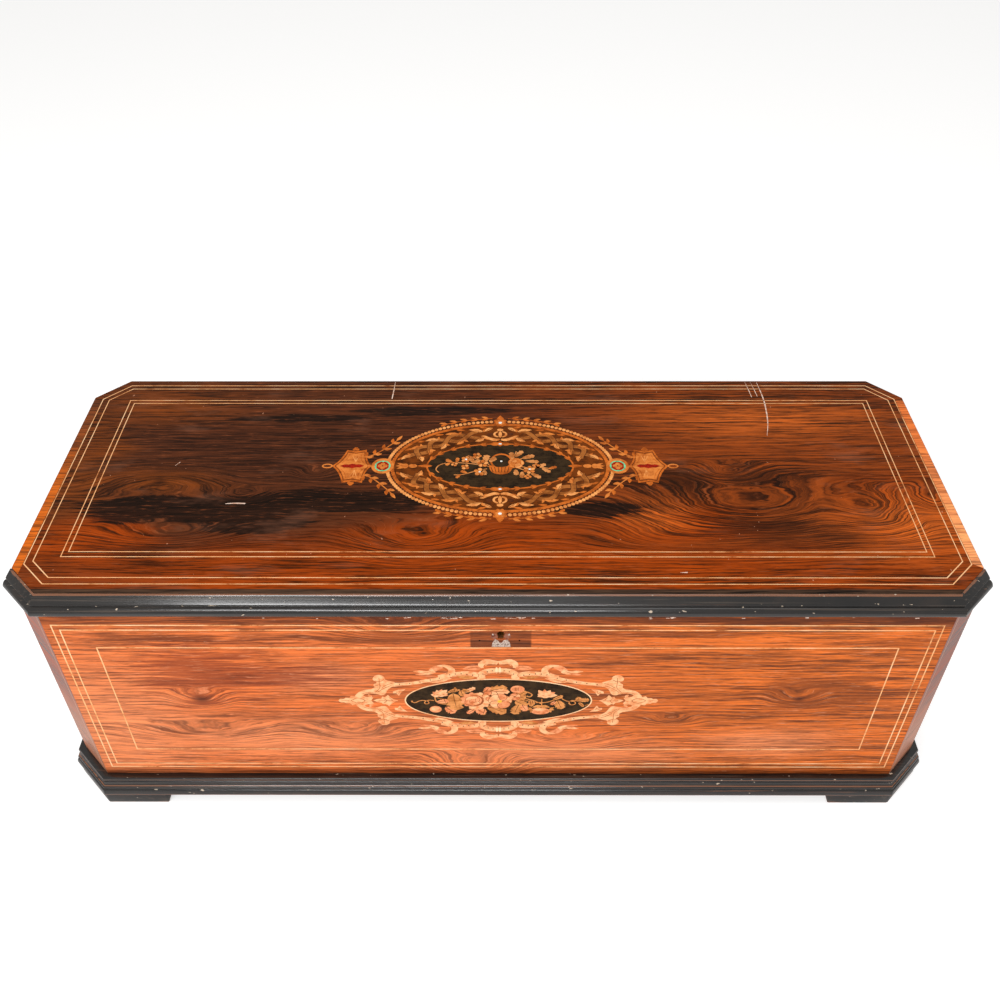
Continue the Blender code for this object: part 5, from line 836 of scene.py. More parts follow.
for base, end, width, wood in (((-40, 10.6), (-37, -14), 15.0, tan_wood),
                               ((-33, 15), (-31, 6), 6.0, tan_wood),
                               ((-55, -2.6), (-44.6, 0.6), 5.4, peach_wood),
                               ((-48, 1.4), (-46.6, -3.6), 7.4, peach_wood),
                               ((-47, -9.0), (-39, -18.0), 9.0, peach_wood),
                               ((-45, 11), (-36, 17), 3.6, tan_wood),
                               ((-42, 12), (-33.4, 15.6), 2.4, tan_wood),
                               ((-38.6, 13), (-37.6, 19.0), 2.2, tan_wood),
                               ((-30, 12), (-20, 18.6), 4.6, maple), ((-32, 16), (-25, 13), 4.0, tan_wood),
                               ((-14, 12), (8, 19), 10.0, tan_wood), ((-6, 13), (10, 12.8), 7.0, maple),
                               ((-12, 10), (-8, 19.4), 6.0, peach_wood),
                               ((-21, -12), (-28, -19), 5.0, peach_wood),
                               ((-20, -11), (-12, -19), 9.0, peach_wood),
                               ((-10, -8), (7, -18), 11.0, tan_wood),
                               ((-12, -12), (-14, -21), 4.6, tan_wood),
                               ((16, 5), (24.0, 14.0), 7.0, tan_wood),
                               ((14, 6), (24.6, 3.6), 8.6, tan_wood),
                               ((15, 0), (25.4, -8.6), 10.0, tan_wood),
                               ((18, -6), (14, -20), 9.4, tan_wood), ((21, -6), (25, -15), 7.4, peach_wood),
                               ((28, 1.0), (29.4, -8.4), 4.6, tan_wood),
                               ((30, 0), (31.0, -6), 4.0, tan_wood), ((48, 1.0), (57, 7.6), 4.0, tan_wood),
                               ((52, 0.6), (56.6, -12), 9.0, tan_wood),
                               ((50.6, -1), (46.6, -6.0), 4.0, peach_wood),
                               ((69, -1), (72, 5.4), 5.0, tan_wood), ((70, 1), (80.6, 1.0), 5.6, tan_wood),
                               ((71, -2), (76, -8.6), 3.4, tan_wood)):
    front.lay(wood, 3, toothed_leaf(base, end, width))
    front.lay(ink_line, 4.6, ribbon([base, tuple(Vector(base).lerp(Vector(end), 0.82))], [0.6, 0.25], 2))


def petals(work, centre, reach, count, woods, level, turn=0.0, shape=1.25, start=0.18, line=rose_brown):
    """A ring of overlapping petals about a flower's middle, each with its dark cut edge."""
    for index in range(count):
        angle = turn + math.tau * index / count
        way = Vector((math.cos(angle), math.sin(angle)))
        near, far = Vector(centre) + way * reach * start, Vector(centre) + way * reach
        width = math.tau * reach / count * shape * 0.62
        middle, half = tuple(near.lerp(far, 0.5)), (far - near).length / 2
        work.lay(line, level + index, oval(middle, (half + 0.5, width / 2 + 0.5), 16, angle))
        work.lay(woods[index % len(woods)], level + index + 0.5, oval(middle, (half, width / 2), 16, angle))


# Rose: a shaded ball with a pale ruffle round its right side.
front.lay(peach_wood, 4, lobed((-22.0, 1.0), (11.6, 11.0), 11, 0.16, 0.3))
front.lay(maple, 5, lobed((-13.0, -1.6), (6.4, 8.6), 8, 0.2, 0.2),
          lobed((-16.4, 6.4), (7.4, 5.4), 7, 0.2, 0.1), lobed((-20.0, -9.2), (7.0, 3.8), 6, 0.2))
front.lay(rose_brown, 6, oval((-22.0, 0.2), (9.2, 8.4), 28))
front.lay(peach_wood, 7, oval((-23.0, 0.6), (8.4, 7.6), 28))
for place, reach, angle in (((-26.0, 3.0), (3.4, 2.2), 0.8), ((-22.0, 4.6), (3.6, 2.0), 0.1),
                            ((-27.6, -1.6), (3.2, 1.9), 1.5), ((-24.4, -4.6), (3.8, 1.9), 2.7),
                            ((-19.6, -3.8), (3.2, 1.9), 0.5), ((-18.4, 1.4), (3.0, 1.7), 1.4)):
    front.lay(rose_brown, 8, oval(place, (reach[0] + 0.4, reach[1] + 0.4), 16, angle))
    front.lay(peach_wood if angle > 1 else maple, 9, oval(place, reach, 16, angle))

# Pansies with a yellow eye, a bud and three bells.
petals(front, (-7.0, 7.0), 7.2, 5, [maple, peach_wood], 5, 0.9, 1.3)
petals(front, (1.6, -0.8), 10.4, 5, [maple, peach_wood, maple], 7, 0.30, 1.45, 0.08)
petals(front, (14.6, 5.8), 4.8, 4, [maple, peach_wood], 5, 0.4, 1.3)
front.lay(yellow_stain, 12.5, oval((1.2, -0.8), (2.0, 1.9), 12))
front.lay(peach_wood, 5, oval((-56.0, -12.4), (5.4, 4.8), 18), oval((16.8, 16.2), (6.2, 5.2), 20),
          oval((37.4, -15.0), (8.6, 4.8), 20))
front.lay(maple, 6, oval((-56.6, -11.4), (3.6, 3.0), 16), oval((37.4, -12.6), (5.6, 2.0), 18))
for base, ends, width in (((45.6, -12.0), ((49.6, -9.6), (50.0, -13.4), (47.0, -17.0)), 2.6),
                          ((29.8, -12.0), ((26.6, -9.8), (26.2, -13.6), (28.8, -17.4)), 2.6),
                          ((38, -6.6), ((30, -9.6), (34, -11.6), (42, -11.6), (46, -9.6)), 3.4)):
    front.lay(tan_wood, 5, *[leaf(base, end, width) for end in ends])
front.lay(ink_line, 6.4, *[oval((14.8 + 1.5 * column, 18.2 - 1.6 * row), (0.5, 0.5), 6)
                           for column in range(3) for row in range(3)])
for bell, way, reach in (((-51.0, 7.6), -1, 1.0), ((42.0, 6.4), 1, 1.15)):
    for index in range(5):
        angle = 0.15 + index * 0.46
        end = (bell[0] + way * math.cos(angle) * 10.6 * reach - way * 2,
               bell[1] + math.sin(angle) * 8.6 * reach)
        front.lay(peach_wood if index % 2 else maple, 4 + index * 0.7, leaf(bell, end, 5.6, 0.6))
    front.lay(maple, 8, lobed((bell[0] - way * 0.6, bell[1] + 1.4), (6.6 * reach, 3.4 * reach), 6, 0.2))
    front.lay(engraved, 9, ribbon([(bell[0] - 4, bell[1] + 2.2), (bell[0], bell[1] + 0.4),
                                   (bell[0] + 4, bell[1] + 2.2)], 0.5, 3))
front.finish()


# Lid panel: four pine boards glued up and sheathed in rosewood, with a black streak along its left half,
# red sapwood along the front and a whorled figure on the right. Strips of plain wood band its two ends.
lid_wood = Finish("lid_rosewood", 0.42, specular=0.06)
flat = flat_place(lid_wood, "X", "Y")
lid_knots = [((0.225, -0.048), (0.165, 0.066), 0.050), ((0.333, -0.050), (0.060, 0.050), 0.030),
             ((0.389, -0.030), (0.030, 0.036), 0.028), ((-0.283, -0.074), (0.085, 0.026), 0.020),
             ((-0.070, -0.080), (0.085, 0.040), 0.030), ((-0.228, -0.024), (0.036, 0.017), 0.013),
             ((-0.162, 0.008), (0.030, 0.016), 0.011), ((-0.304, -0.002), (0.090, 0.030), -0.022),
             ((0.212, 0.010), (0.050, 0.020), 0.014), ((0.140, -0.080), (0.090, 0.030), 0.018)]
tone, lines, pores, spot = rosewood(lid_wood, flat, lid_knots, 0.016, 1350.0, 1.0)
parts = lid_wood.axes()
ragged = pushed(lid_wood, flat, 0.12, 0.018, (5.0, 50.0, 0.0))
colour = lid_wood.blend(lid_wood.fit(parts["X"], -0.16, 0.20), grained(lid_wood, tone, (84, 42, 20), 0.48),
                        grained(lid_wood, tone, (122, 54, 14), 0.56))
dusk = joined(lid_wood, ragged, ((-0.210, 0.040), (0.240, 0.110)), ((-0.050, 0.050), (0.230, 0.140)))
colour = lid_wood.over(colour, dusk, 0.60, grained(lid_wood, tone, (66, 33, 18), 0.45))
brown = joined(lid_wood, ragged, ((-0.308, -0.004), (0.100, 0.030)), ((-0.375, 0.020), (0.050, 0.200)),
               ((-0.330, 0.110), (0.12, 0.05)))
colour = lid_wood.over(colour, brown, 0.75, grained(lid_wood, tone, (116, 56, 14), 0.52))
red = streaky(lid_wood, joined(lid_wood, ragged, ((0.0, -0.122), (0.80, 0.092)),
                               ((-0.020, -0.086), (0.260, 0.074)), ((0.355, -0.060), (0.110, 0.120)),
                               ((0.150, -0.060), (0.160, 0.050)), ((-0.345, -0.085), (0.110, 0.070))), tone,
              1.6, 0.30)
colour = lid_wood.over(colour, red, 0.90, grained(lid_wood, tone, (150, 58, 2), 0.48))
bright = joined(lid_wood, ragged, ((0.360, -0.060), (0.110, 0.070)), ((0.250, 0.090), (0.180, 0.050)),
                ((0.13, -0.05), (0.06, 0.03)))
colour = lid_wood.over(colour, bright, 0.72, grained(lid_wood, tone, (194, 94, 32), 0.50))
shadow = streaky(lid_wood, joined(lid_wood, ragged, ((0.165, 0.004), (0.080, 0.040)),
                                  ((0.235, 0.006), (0.110, 0.030)), ((0.240, -0.070), (0.150, 0.036)),
                                  ((0.105, -0.042), (0.085, 0.026)), ((-0.300, -0.096), (0.080, 0.016))),
                 tone, 3.2, 0.30)
colour = lid_wood.over(colour, shadow, 0.66, paint(44, 20, 6))
black = streaky(lid_wood, joined(lid_wood, ragged, ((-0.270, -0.042), (0.215, 0.040)),
                                 ((-0.155, -0.030), (0.190, 0.032)), ((-0.210, -0.062), (0.085, 0.022)),
                                 ((0.089, -0.043), (0.066, 0.022)), ((-0.060, 0.100), (0.16, 0.016)),
                                 ((-0.20, 0.090), (0.14, 0.012))), tone, 1.1, 0.07)
colour = lid_wood.over(colour, black, 0.93, lid_wood.ramp(tone, (0.42, paint(18, 10, 5)),
                                                          (0.66, paint(44, 24, 14))))
knots = joined(lid_wood, pushed(lid_wood, flat, 0.02, 0.010), ((-0.304, -0.006), (0.010, 0.007)),
               ((-0.283, -0.024), (0.012, 0.005)))
colour = lid_wood.over(colour, knots, 0.7, paint(26, 12, 5))
eye = joined(lid_wood, flat, ((0.225, -0.050), (0.230, 0.095)), ((-0.283, -0.074), (0.12, 0.036)))
lines = lid_wood.maths("MULTIPLY", lines, lid_wood.fit(eye, 0.0, 0.5, 0.35, 1.0))
colour = lid_wood.over(colour, lines, 0.78, paint(36, 14, 4))
colour = lid_wood.over(colour, pores, 0.62, paint(24, 10, 4))
# Painted highlight: short glints along the grain.
colour = painted_glints(lid_wood, colour, spot, paint(178, 96, 54), 0.34)
haze = lid_wood.fit(lid_wood.noise(lid_wood.scaled((14.0, 40.0, 1.0), (4.0, 2.0, 0.0)), 1.0, 4.0, 0.6),
                    0.56, 0.74)
colour = lid_wood.over(colour, haze, 0.16, paint(172, 112, 84))
dust = lid_wood.fit(lid_wood.noise(lid_wood.scaled((260.0, 170.0, 1.0)), 1.0, 2.0, 0.6), 0.755, 0.775)
colour = lid_wood.over(colour, dust, 0.55, paint(236, 168, 130))
# The moulding's flat top laps a few millimetres over the front edge.
lap = lid_wood.fit(parts["Y"], LID_FRONT + 0.0050, LID_FRONT + 0.0046)
colour = lid_wood.over(colour, lap, 1.0, lid_wood.ramp(tone, (0.40, paint(24, 17, 13)),
                                                       (0.62, paint(86, 62, 46))))
lid_wood.set("Base Color", board(lid_wood, colour, parts["Z"], LID_TOP - 0.0010, LID_TOP - 0.0014))
lid_wood.set("Roughness", lid_wood.fit(tone, 0.3, 0.7, 0.32, 0.46))
lid_wood.bump(lid_wood.maths("SUBTRACT", tone, lid_wood.maths("MULTIPLY", pores, 0.5)), 0.0001, 0.45)
dress(lid_wood.material, "lid_panel")


# Lid marquetry: an oval band of twisted ribbons inside a string of boxwood beads, round an ebony oval
# with a basket of flowers. A disc, a lantern and two laurel sprays stand at each end.
lid = Marquetry("lid_marquetry", "lid", lid_spot)
lid.lay(field_brown, 1, oval((0, 0), (98.6, 61.6), 96))
lid.ring(orange_wood, 2, oval((0, 0), (100.6, 63.4), 96), oval((0, 0), (97.2, 60.0), 96))
BEADS, BEAD_OVAL, FLOWER_GAP = 150, (103.4, 66.2), 0.07
for index in range(BEADS):
    angle = math.tau * (index + 0.5) / BEADS
    if abs(math.cos(angle)) > FLOWER_GAP:
        place = (BEAD_OVAL[0] * math.cos(angle), BEAD_OVAL[1] * math.sin(angle))
        lid.lay(pale_gold, 3, oval(place, (1.8, 2.0), 8))
        lid.lay(ink_line, 3, oval((place[0] * 0.973, place[1] * 0.960), (0.75, 0.75), 6))


def band_place(degrees, out):
    """A place in the ribbon band by its angle and its share across the band, minus one to one."""
    angle = math.radians(degrees)
    return ((82.6 + 13.4 * out) * math.cos(angle), (47.2 + 12.4 * out) * math.sin(angle))


# Twisted ribbons: two strands cross again and again, with a pale leaf in each loop.
STEP = 15.4
for across in (-1, 1):
    for up in (-1, 1):
        for strand in (-1, 1):
            for index in range(4):
                start = 14.0 + STEP * index
                swing = strand * (1 if index % 2 else -1)
                points = [band_place(start + STEP * share, swing * 0.42 * math.cos(math.pi * share))
                          for share in (0.0, 0.2, 0.4, 0.6, 0.8, 1.0)]
                level = 3.0 if swing > 0 else 5.0
                lid.lay(ink_line, level, flipped(ribbon(points, [5.6, 5.8, 5.6, 5.6, 5.8, 5.6], 4), across,
                                                 up))
                lid.lay(ribbon_brown, level + 1, flipped(ribbon(points, [4.4, 4.6, 4.4, 4.4, 4.6, 4.4], 4),
                                                         across, up))
        for index in range(5):
            middle = 14.0 + STEP * index
            for side in (-1, 1):
                base, end = band_place(middle + 3.8, side * 0.30), band_place(middle - 4.6, side * 0.74)
                lid.lay(pale_gold if (index + side) % 2 else warm_gold, 7,
                        flipped(leaf(base, end, 4.4, side * 1.3), across, up))
                lid.lay(ink_line, 8, flipped(ribbon([base, tuple(Vector(base).lerp(Vector(end), 0.6))], 0.5,
                                                    2), across, up))
                curl = band_place(middle + 6.0, side * 0.66)
                lid.lay(warm_gold, 6.5, flipped(leaf(base, curl, 2.6, -side * 0.7), across, up))
            spray = band_place(middle + STEP / 2, 0.0)
            lid.lay(ink_line, 2.2, flipped(oval(spray, (3.0, 2.2), 10), across, up))
        for index in range(6):
            base, end = band_place(8 + 14 * index, 0.98), band_place(13 + 14 * index, 0.76)
            lid.lay(orange_wood, 2.4, flipped(leaf(base, end, 2.6), across, up))
        # Scroll arms and cup of the pendant over the middle
        lid.lay(pale_gold, 8, flipped(ribbon([(0.6, 39.0), (5.0, 38.2), (10.6, 40.6), (14.6, 43.6),
                                              (17.8, 44.0)], [2.0, 3.6, 3.0, 2.0, 0.6], 4), across, up))
        lid.lay(pale_gold, 8, flipped(ribbon([(2.0, 51.0), (5.4, 48.0), (4.8, 44.2), (1.6, 42.6)],
                                             [1.6, 2.0, 2.0, 1.4], 4), across, up))
        lid.lay(pale_gold, 7, flipped(leaf((7.0, 56.6), (15.0, 51.0), 3.8, 0.8), across, up))
        lid.lay(ink_line, 7.6, flipped(ribbon([(8.0, 56.0), (13.0, 52.4)], 0.5, 2), across, up))
for up in (-1, 1):
    lid.lay(field_brown, 7, flipped(oval((0, 47.0), (6.4, 8.0), 20), 1, up))
    lid.lay(pale_gold, 9, flipped(oval((0, 46.4), (1.7, 4.8), 12), 1, up),
            flipped(oval((0, 53.4), (3.0, 2.0), 12), 1, up))
    lid.lay(orange_wood, 5, flipped(lobed((0, 65.4), (6.6, 7.6), 8, 0.22), 1, up))
    lid.lay(warm_gold, 6, flipped(lobed((0, 65.4), (4.4, 5.0), 8, 0.25), 1, up))
    lid.lay(white_bone, 8, flipped(oval((0, 64.6), (1.7, 1.5), 10), 1, up))
    lid.lay(orange_wood, 6, flipped(leaf((0, 67.0), (0, 76.0), 6.0), 1, up))

# Garland line round the ebony oval, with a few leaves in pairs and a small flower over the middle.
GARLAND = (67.0, 32.2)
lid.lay(ebony, 3, oval((0, 0), (66.4, 31.6), 96))
lid.ring(orange_wood, 4, oval((0, 0), (67.8, 33.0), 96), oval((0, 0), (66.2, 31.4), 96))
for across in (-1, 1):
    for up in (-1, 1):
        for degrees in (16, 30, 46, 60, 74, 82):
            angle, ahead_angle = math.radians(degrees), math.radians(degrees + 5)
            point = Vector((GARLAND[0] * math.cos(angle), GARLAND[1] * math.sin(angle)))
            ahead_point = Vector((GARLAND[0] * math.cos(ahead_angle), GARLAND[1] * math.sin(ahead_angle)))
            way = (ahead_point - point).normalized()
            out = Vector((way.y, -way.x))
            for sign in (-1, 1):
                end = point + way * 6.0 + out * 2.4 * sign
                lid.lay(orange_wood, 4.6, flipped(leaf(tuple(point), tuple(end), 2.3), across, up))
    lid.lay(orange_wood, 5, flipped(leaf((62, 0), (76, 0), 4.2), across),
            flipped(leaf((67, -3.4), (67, 3.4), 3.0), across))
    lid.lay(warm_gold, 5, flipped(oval((80.0, 0), (4.0, 2.6), 14), across),
            flipped(oval((87.0, 0), (3.0, 3.4), 14), across),
            flipped(leaf((86, 0), (94.6, 4.0), 3.0), across),
            flipped(leaf((86, 0), (94.6, -4.0), 3.0), across),
            flipped(leaf((86, 0), (96.0, 0), 2.6), across))
for up in (-1, 1):
    lid.lay(orange_wood, 6, flipped(lobed((0, 32.2), (5.2, 3.4), 6, 0.30), 1, up))
    lid.lay(white_bone, 7, flipped(oval((0, 32.2), (1.6, 1.1), 8), 1, up))

# Laurel along the outside of the beads, parted at the middle of each long side.
LAUREL = (107.0, 71.4)
for across in (-1, 1):
    for up in (-1, 1):
        stem = [(LAUREL[0] * math.cos(math.radians(turn)), LAUREL[1] * math.sin(math.radians(turn)))
                for turn in range(86, 56, -4)]
        lid.lay(orange_wood, 2, flipped(ribbon(stem, 1.1, 3), across, up))
        for index in range(5):
            angle = math.radians(84 - 5.6 * index)
            point = Vector((LAUREL[0] * math.cos(angle), LAUREL[1] * math.sin(angle)))
            way = Vector((LAUREL[0] * math.sin(angle), -LAUREL[1] * math.cos(angle))).normalized()
            out = Vector((-way.y, way.x))
            for sign in (-1, 1):
                end = point + way * 7.0 + out * (3.6 if sign > 0 else 2.0) * sign
                lid.lay(warm_gold if sign > 0 else orange_wood, 3,
                        flipped(leaf(tuple(point), tuple(end), 3.0, 0.3), across, up))

# End pieces: disc with a green ring, lantern with a red bar, loop and laurel sprays.
DISC_X, LANTERN_X, SPRAY_END = 107.7, 134.8, (94.6, 40.6)
half_lantern = [(153.4, 1.0), (150.0, 5.0), (147.0, 10.4), (144.4, 16.8), (142.6, 23.4), (134.0, 21.4),
                (124.4, 23.6), (123.8, 16.4), (122.6, 9.4), (120.6, 4.0), (118.4, 1.2)]
lantern = half_lantern + [(x, -y) for x, y in reversed(half_lantern)]
middle = Vector((LANTERN_X, 0.0))
for across in (-1, 1):
    lid.lay(warm_gold, 3, flipped(ribbon([(121, 0), (113, 0)], 2.4, 2), across))
    lid.lay(orange_wood, 4, flipped(oval((DISC_X, 0), (10.4, 10.8), 36), across))
    lid.ring(warm_gold, 5, flipped(oval((DISC_X, 0), (10.2, 10.6), 36), across),
             flipped(oval((DISC_X, 0), (7.6, 8.0), 36), across))
    lid.ring(green_stain, 5, flipped(oval((DISC_X, 0), (7.3, 7.6), 32), across),
             flipped(oval((DISC_X, 0), (6.1, 6.4), 32), across))
    lid.lay(red_wood, 5, flipped(oval((DISC_X, 0), (5.7, 6.0), 24), across))
    for turn in range(4):
        angle = math.tau * turn / 4
        lid.lay(green_stain, 5.6, flipped(oval((DISC_X + 6.2 * math.cos(angle), 6.4 * math.sin(angle)),
                                               (0.9, 0.9), 8), across))
        lid.lay(warm_gold, 6, flipped(oval((DISC_X + 2.4 * math.cos(angle), 2.5 * math.sin(angle)),
                                           (2.2, 2.2), 10), across))
    lid.lay(ink_line, 7, flipped(oval((DISC_X, 0), (0.8, 0.8), 8), across))
    lid.lay(orange_wood, 2, flipped(lantern, across))
    inner = [tuple(middle + (Vector(point) - middle) * 0.88) for point in lantern]
    smaller = [tuple(middle + (Vector(point) - middle) * 0.84) for point in lantern]
    lid.ring(ink_line, 3, flipped(inner, across), flipped(smaller, across))
    lid.lay(warm_gold, 3, flipped([tuple(middle + (Vector(point) - middle) * 0.80) for point in lantern],
                                  across))
    for up in (-1, 1):
        lid.lay(orange_wood, 2.4, flipped(lobed((134.6, 24.4), (3.4, 2.8), 3, 0.3, 0.5), across, up))
        lid.lay(pale_gold, 4.5, *[flipped(ribbon([(133.0, 6.0 * up), (133.0 + end, 15.0 * up)], [0.8, 0.4],
                                                 2), across) for end in (-2.6, 0.6, 3.8)])
        lid.lay(orange_wood, 4, *[flipped(ribbon(points, 0.7, 3), across, up) for points in (
            [(145.6, 4.4), (141.6, 10.0), (139.6, 17)], [(125.6, 4.4), (128.4, 10), (128.6, 17)])])
    lid.lay(red_wood, 5, flipped([(147.0, 0.0), (142.6, 2.3), (139.0, 2.0), (135.6, 3.2), (132.2, 2.0),
                                  (128.2, 2.3), (124.6, 0.0), (128.2, -2.3), (132.2, -2.0), (135.6, -3.2),
                                  (139.0, -2.0), (142.6, -2.3)], across))
    lid.ring(warm_gold, 3, flipped(oval((158.4, 0), (5.0, 3.2), 24), across),
             flipped(oval((158.4, 0), (3.6, 1.7), 24), across))
    for up in (-1, 1):
        spray = [(127.6, 12.4), (119.6, 14.6), (112.0, 20.6), (104.6, 28.6), (98.6, 35.6), SPRAY_END]
        lid.lay(warm_gold, 3, flipped(ribbon(spray, [1.3, 1.2, 1.1, 1.0, 0.9, 0.6], 4), across, up))
        for x, y, reach in ((124.0, 13.2, 7.4), (116.6, 16.8, 7.4), (108.6, 24.2, 7.8), (100.8, 33.0, 7.6)):
            way = (Vector(SPRAY_END) - Vector((x, y))).normalized()
            out = Vector((-way.y, way.x))
            for sign in (-1, 1):
                end = Vector((x, y)) + way * reach * 0.72 + out * reach * 0.62 * sign
                lid.lay(warm_gold if sign > 0 else orange_wood, 3.4,
                        flipped(leaf((x, y), tuple(end), 3.6, 0.5 * sign), across, up))
        lid.lay(warm_gold, 3.6, flipped(leaf((97.6, 37.0), (92.6, 44.6), 3.4), across, up))

# The basket and its flowers, laid on the ebony oval.
lid.ring(orange_wood, 5, oval((1.0, 6.6), (10.2, 11.4), 32), oval((1.0, 6.6), (8.4, 9.4), 32))
bowl = closed([(-10.4, 1.6), (-9.0, -6.0), (-5.0, -10.6), (2.0, -11.8), (8.0, -9.6), (11.0, -4.0),
               (12.0, 2.0), (5.0, -1.0), (-3.0, -1.4)])
lid.lay(orange_wood, 6, bowl)
for index in range(6):
    lid.lay(ink_line, 7, ribbon([(-8.4 + 3.3 * index, -1.6), (-6.4 + 2.6 * index, -9.0)], 0.6, 3))
for points in ([(-9, -1), (-20, 2), (-32, 4), (-42, 5), (-50, 6.6)], [(-10, 2), (-20, 9), (-30, 15)],
               [(-12, -4), (-24, -8), (-34, -12), (-42, -12.6)], [(9, 2), (18, 9), (27, 16)],
               [(12, 0), (26, -2), (38, -2), (47, -4.4)], [(14, -2), (26, -8), (32, -15)],
               [(8, 6), (13, 15), (15, 21)], [(-50, 4), (-56, 1), (-58.6, -5), (-55.6, -9.4)]):
    lid.lay(tan_wood, 5, ribbon(points, 1.0, 4))
for base, end, width in (((-24, 4), (-28, 13), 4.6), ((-44, 5), (-50, 9.6), 3.6),
                         ((-40, 5), (-39, 12), 3.6), ((-46, 4.6), (-50, 1), 3.4),
                         ((-14, 6), (-12, 16), 6.6), ((-16, 4), (-24, 7), 5.0), ((-10, 6), (-4, 12), 5.4),
                         ((-30, -10), (-36, -7), 3.6), ((-36, -12), (-40, -17), 3.2),
                         ((-14, -6), (-15, -13), 5.4), ((12, 9), (10, 20), 5.0), ((14, 13), (21, 22), 5.0),
                         ((20, 11), (32, 15), 5.2), ((23, 7), (36, 6), 4.6), ((34, -2), (42, 3), 4.4),
                         ((38, -3), (46, -9), 4.2), ((44, -4), (52, -1), 3.6), ((20, -8), (20, -17), 4.8),
                         ((28, -10), (37, -17), 4.6), ((14, -5), (15, -13), 5.0)):
    lid.lay(tan_wood if width > 4 else warm_gold, 5.6, toothed_leaf(base, end, width, 3))
for spot_place, reach, number in (((-31.4, 9.3), 5.4, 5), ((-21.4, 14.6), 5.0, 5), ((-42.0, 2.6), 3.6, 4),
                                  ((-18.6, -8.4), 6.4, 5), ((-16, 3.4), 6.0, 5), ((-32, -1.6), 4.4, 4),
                                  ((26.6, -5.6), 6.6, 6), ((33, 0), 4.4, 5), ((25, -15), 4.0, 4)):
    petals(lid, spot_place, reach * 0.86, number, [warm_gold, pale_gold], 5, spot_place[0], 0.95,
           line=ink_line)
for spot_place in ((-31.4, 9.3), (1.0, 6.6), (27.0, -4.6), (-18.6, -8.4)):
    lid.lay(white_bone, 11.5, oval(spot_place, (1.1, 1.1), 8))
petals(lid, (14.6, 3.8), 7.2, 5, [pale_gold, warm_gold], 5, 0.2, line=orange_wood)
petals(lid, (14.6, 3.8), 4.4, 4, [warm_gold, pale_gold], 10, 0.6, line=orange_wood)
lid.finish()


# Ends of the lid: a cross band of lighter wood between the edge and the outer line at each side.
band_wood = Finish("lid_end_band", 0.42, specular=0.12)
flat = flat_place(band_wood, "X", "Y")
tone, lines, pores, spot = rosewood(band_wood, flat, [], 0.03, 700.0, 13.0)
parts = band_wood.axes()
left_tone = band_wood.blend(band_wood.fit(parts["Y"], -0.04, 0.10),
                            grained(band_wood, tone, (206, 100, 22), 0.3),
                            grained(band_wood, tone, (118, 60, 24), 0.4))
right_tone = band_wood.blend(band_wood.fit(parts["Y"], -0.11, 0.09),
                             grained(band_wood, tone, (255, 160, 100), 0.3),
                             grained(band_wood, tone, (236, 120, 54), 0.3))
colour = band_wood.blend(band_wood.fit(parts["X"], -0.1, 0.1), left_tone, right_tone)
band_wood.set("Base Color", band_wood.over(colour, pores, 0.5, paint(110, 50, 18)))
band_wood.bump(tone, 0.0001, 0.4)
shape = bmesh.new()
lay_plate(shape, [(-0.3998, -0.1128), (-0.3924, -0.1200), (-0.3922, 0.1150), (-0.3998, 0.1225)], lid_place,
          LET_IN, 0.02)
lay_plate(shape, [(0.3998, -0.1128), (0.3998, 0.1180), (0.3922, 0.1180), (0.3922, -0.1080)], lid_place,
          LET_IN, 0.02)
finish_piece("lid_end_bands", shape, "lid", band_wood.material)


# Old damage: pale scratches across the lid's back edge and a few short marks in the polish.
scratch = inlay_wood("bare_scratch", paint(190, 140, 112), paint(240, 214, 196), 300.0, 0.7)
marks = bmesh.new()
for points, width in (([(-0.1040, 0.1500), (-0.1046, 0.1320), (-0.1052, 0.1210)], 0.0010),
                      ([(0.2490, 0.1500), (0.2505, 0.1360), (0.2515, 0.1240)], 0.0008),
                      ([(0.2545, 0.1500), (0.2562, 0.1360), (0.2572, 0.1250)], 0.0006),
                      ([(0.2607, 0.1490), (0.2625, 0.1180), (0.2600, 0.0850), (0.2550, 0.0620)], 0.0012),
                      ([(-0.2395, -0.0340), (-0.2305, -0.0335), (-0.2220, -0.0338)], 0.0016),
                      ([(-0.2960, 0.0180), (-0.2925, 0.0230)], 0.0008),
                      ([(0.1500, -0.1180), (0.1560, -0.1178)], 0.0012)):
    outline = ribbon([(x, y) for x, y in points], [width * share for share in (0.3, 1.0, 0.8,
                                                                               0.2)[:len(points)]], 5)
    lay_plate(marks, outline, lid_place, LET_IN, 0.05)
finish_piece("lid_scratches", marks, "lid", scratch)


# Keyhole: its plate is lost. Two round scars, filler under the slot and two pin holes are left.
scar = inlay_wood("keyhole_scar", paint(92, 40, 24), paint(150, 96, 76), 400.0, 0.7)
filler = inlay_wood("keyhole_filler", paint(96, 66, 54), paint(206, 186, 172), 700.0, 0.8)
hole_dark = inlay_wood("pin_hole", paint(20, 10, 6), paint(34, 18, 10), 300.0, 0.8)
scars, patches, holes = bmesh.new(), bmesh.new(), bmesh.new()
for x in (-0.0024, 0.0086):
    lay_plate(scars, lobed((x, 0.2352), (0.0029, 0.0037), 5, 0.12, x * 900), front_place, LET_IN, 0.04)
    lay_plate(patches, lobed((x + (0.0012 if x > 0 else -0.0010), 0.2372), (0.0010, 0.0013), 4, 0.3),
              front_place, LET_IN, 0.08)
lay_plate(patches, [(-0.0018, 0.2318), (0.0008, 0.2296), (0.0018, 0.2270), (0.0040, 0.2270),
                    (0.0056, 0.2300), (0.0088, 0.2312), (0.0106, 0.2266), (0.0112, 0.2216),
                    (-0.0046, 0.2216), (-0.0040, 0.2262)], front_place, LET_IN, 0.06)
for x in (-0.0147, 0.0186):
    lay_plate(holes, oval((x, 0.2296), (0.0008, 0.0010), 8), front_place, LET_IN, 0.06)
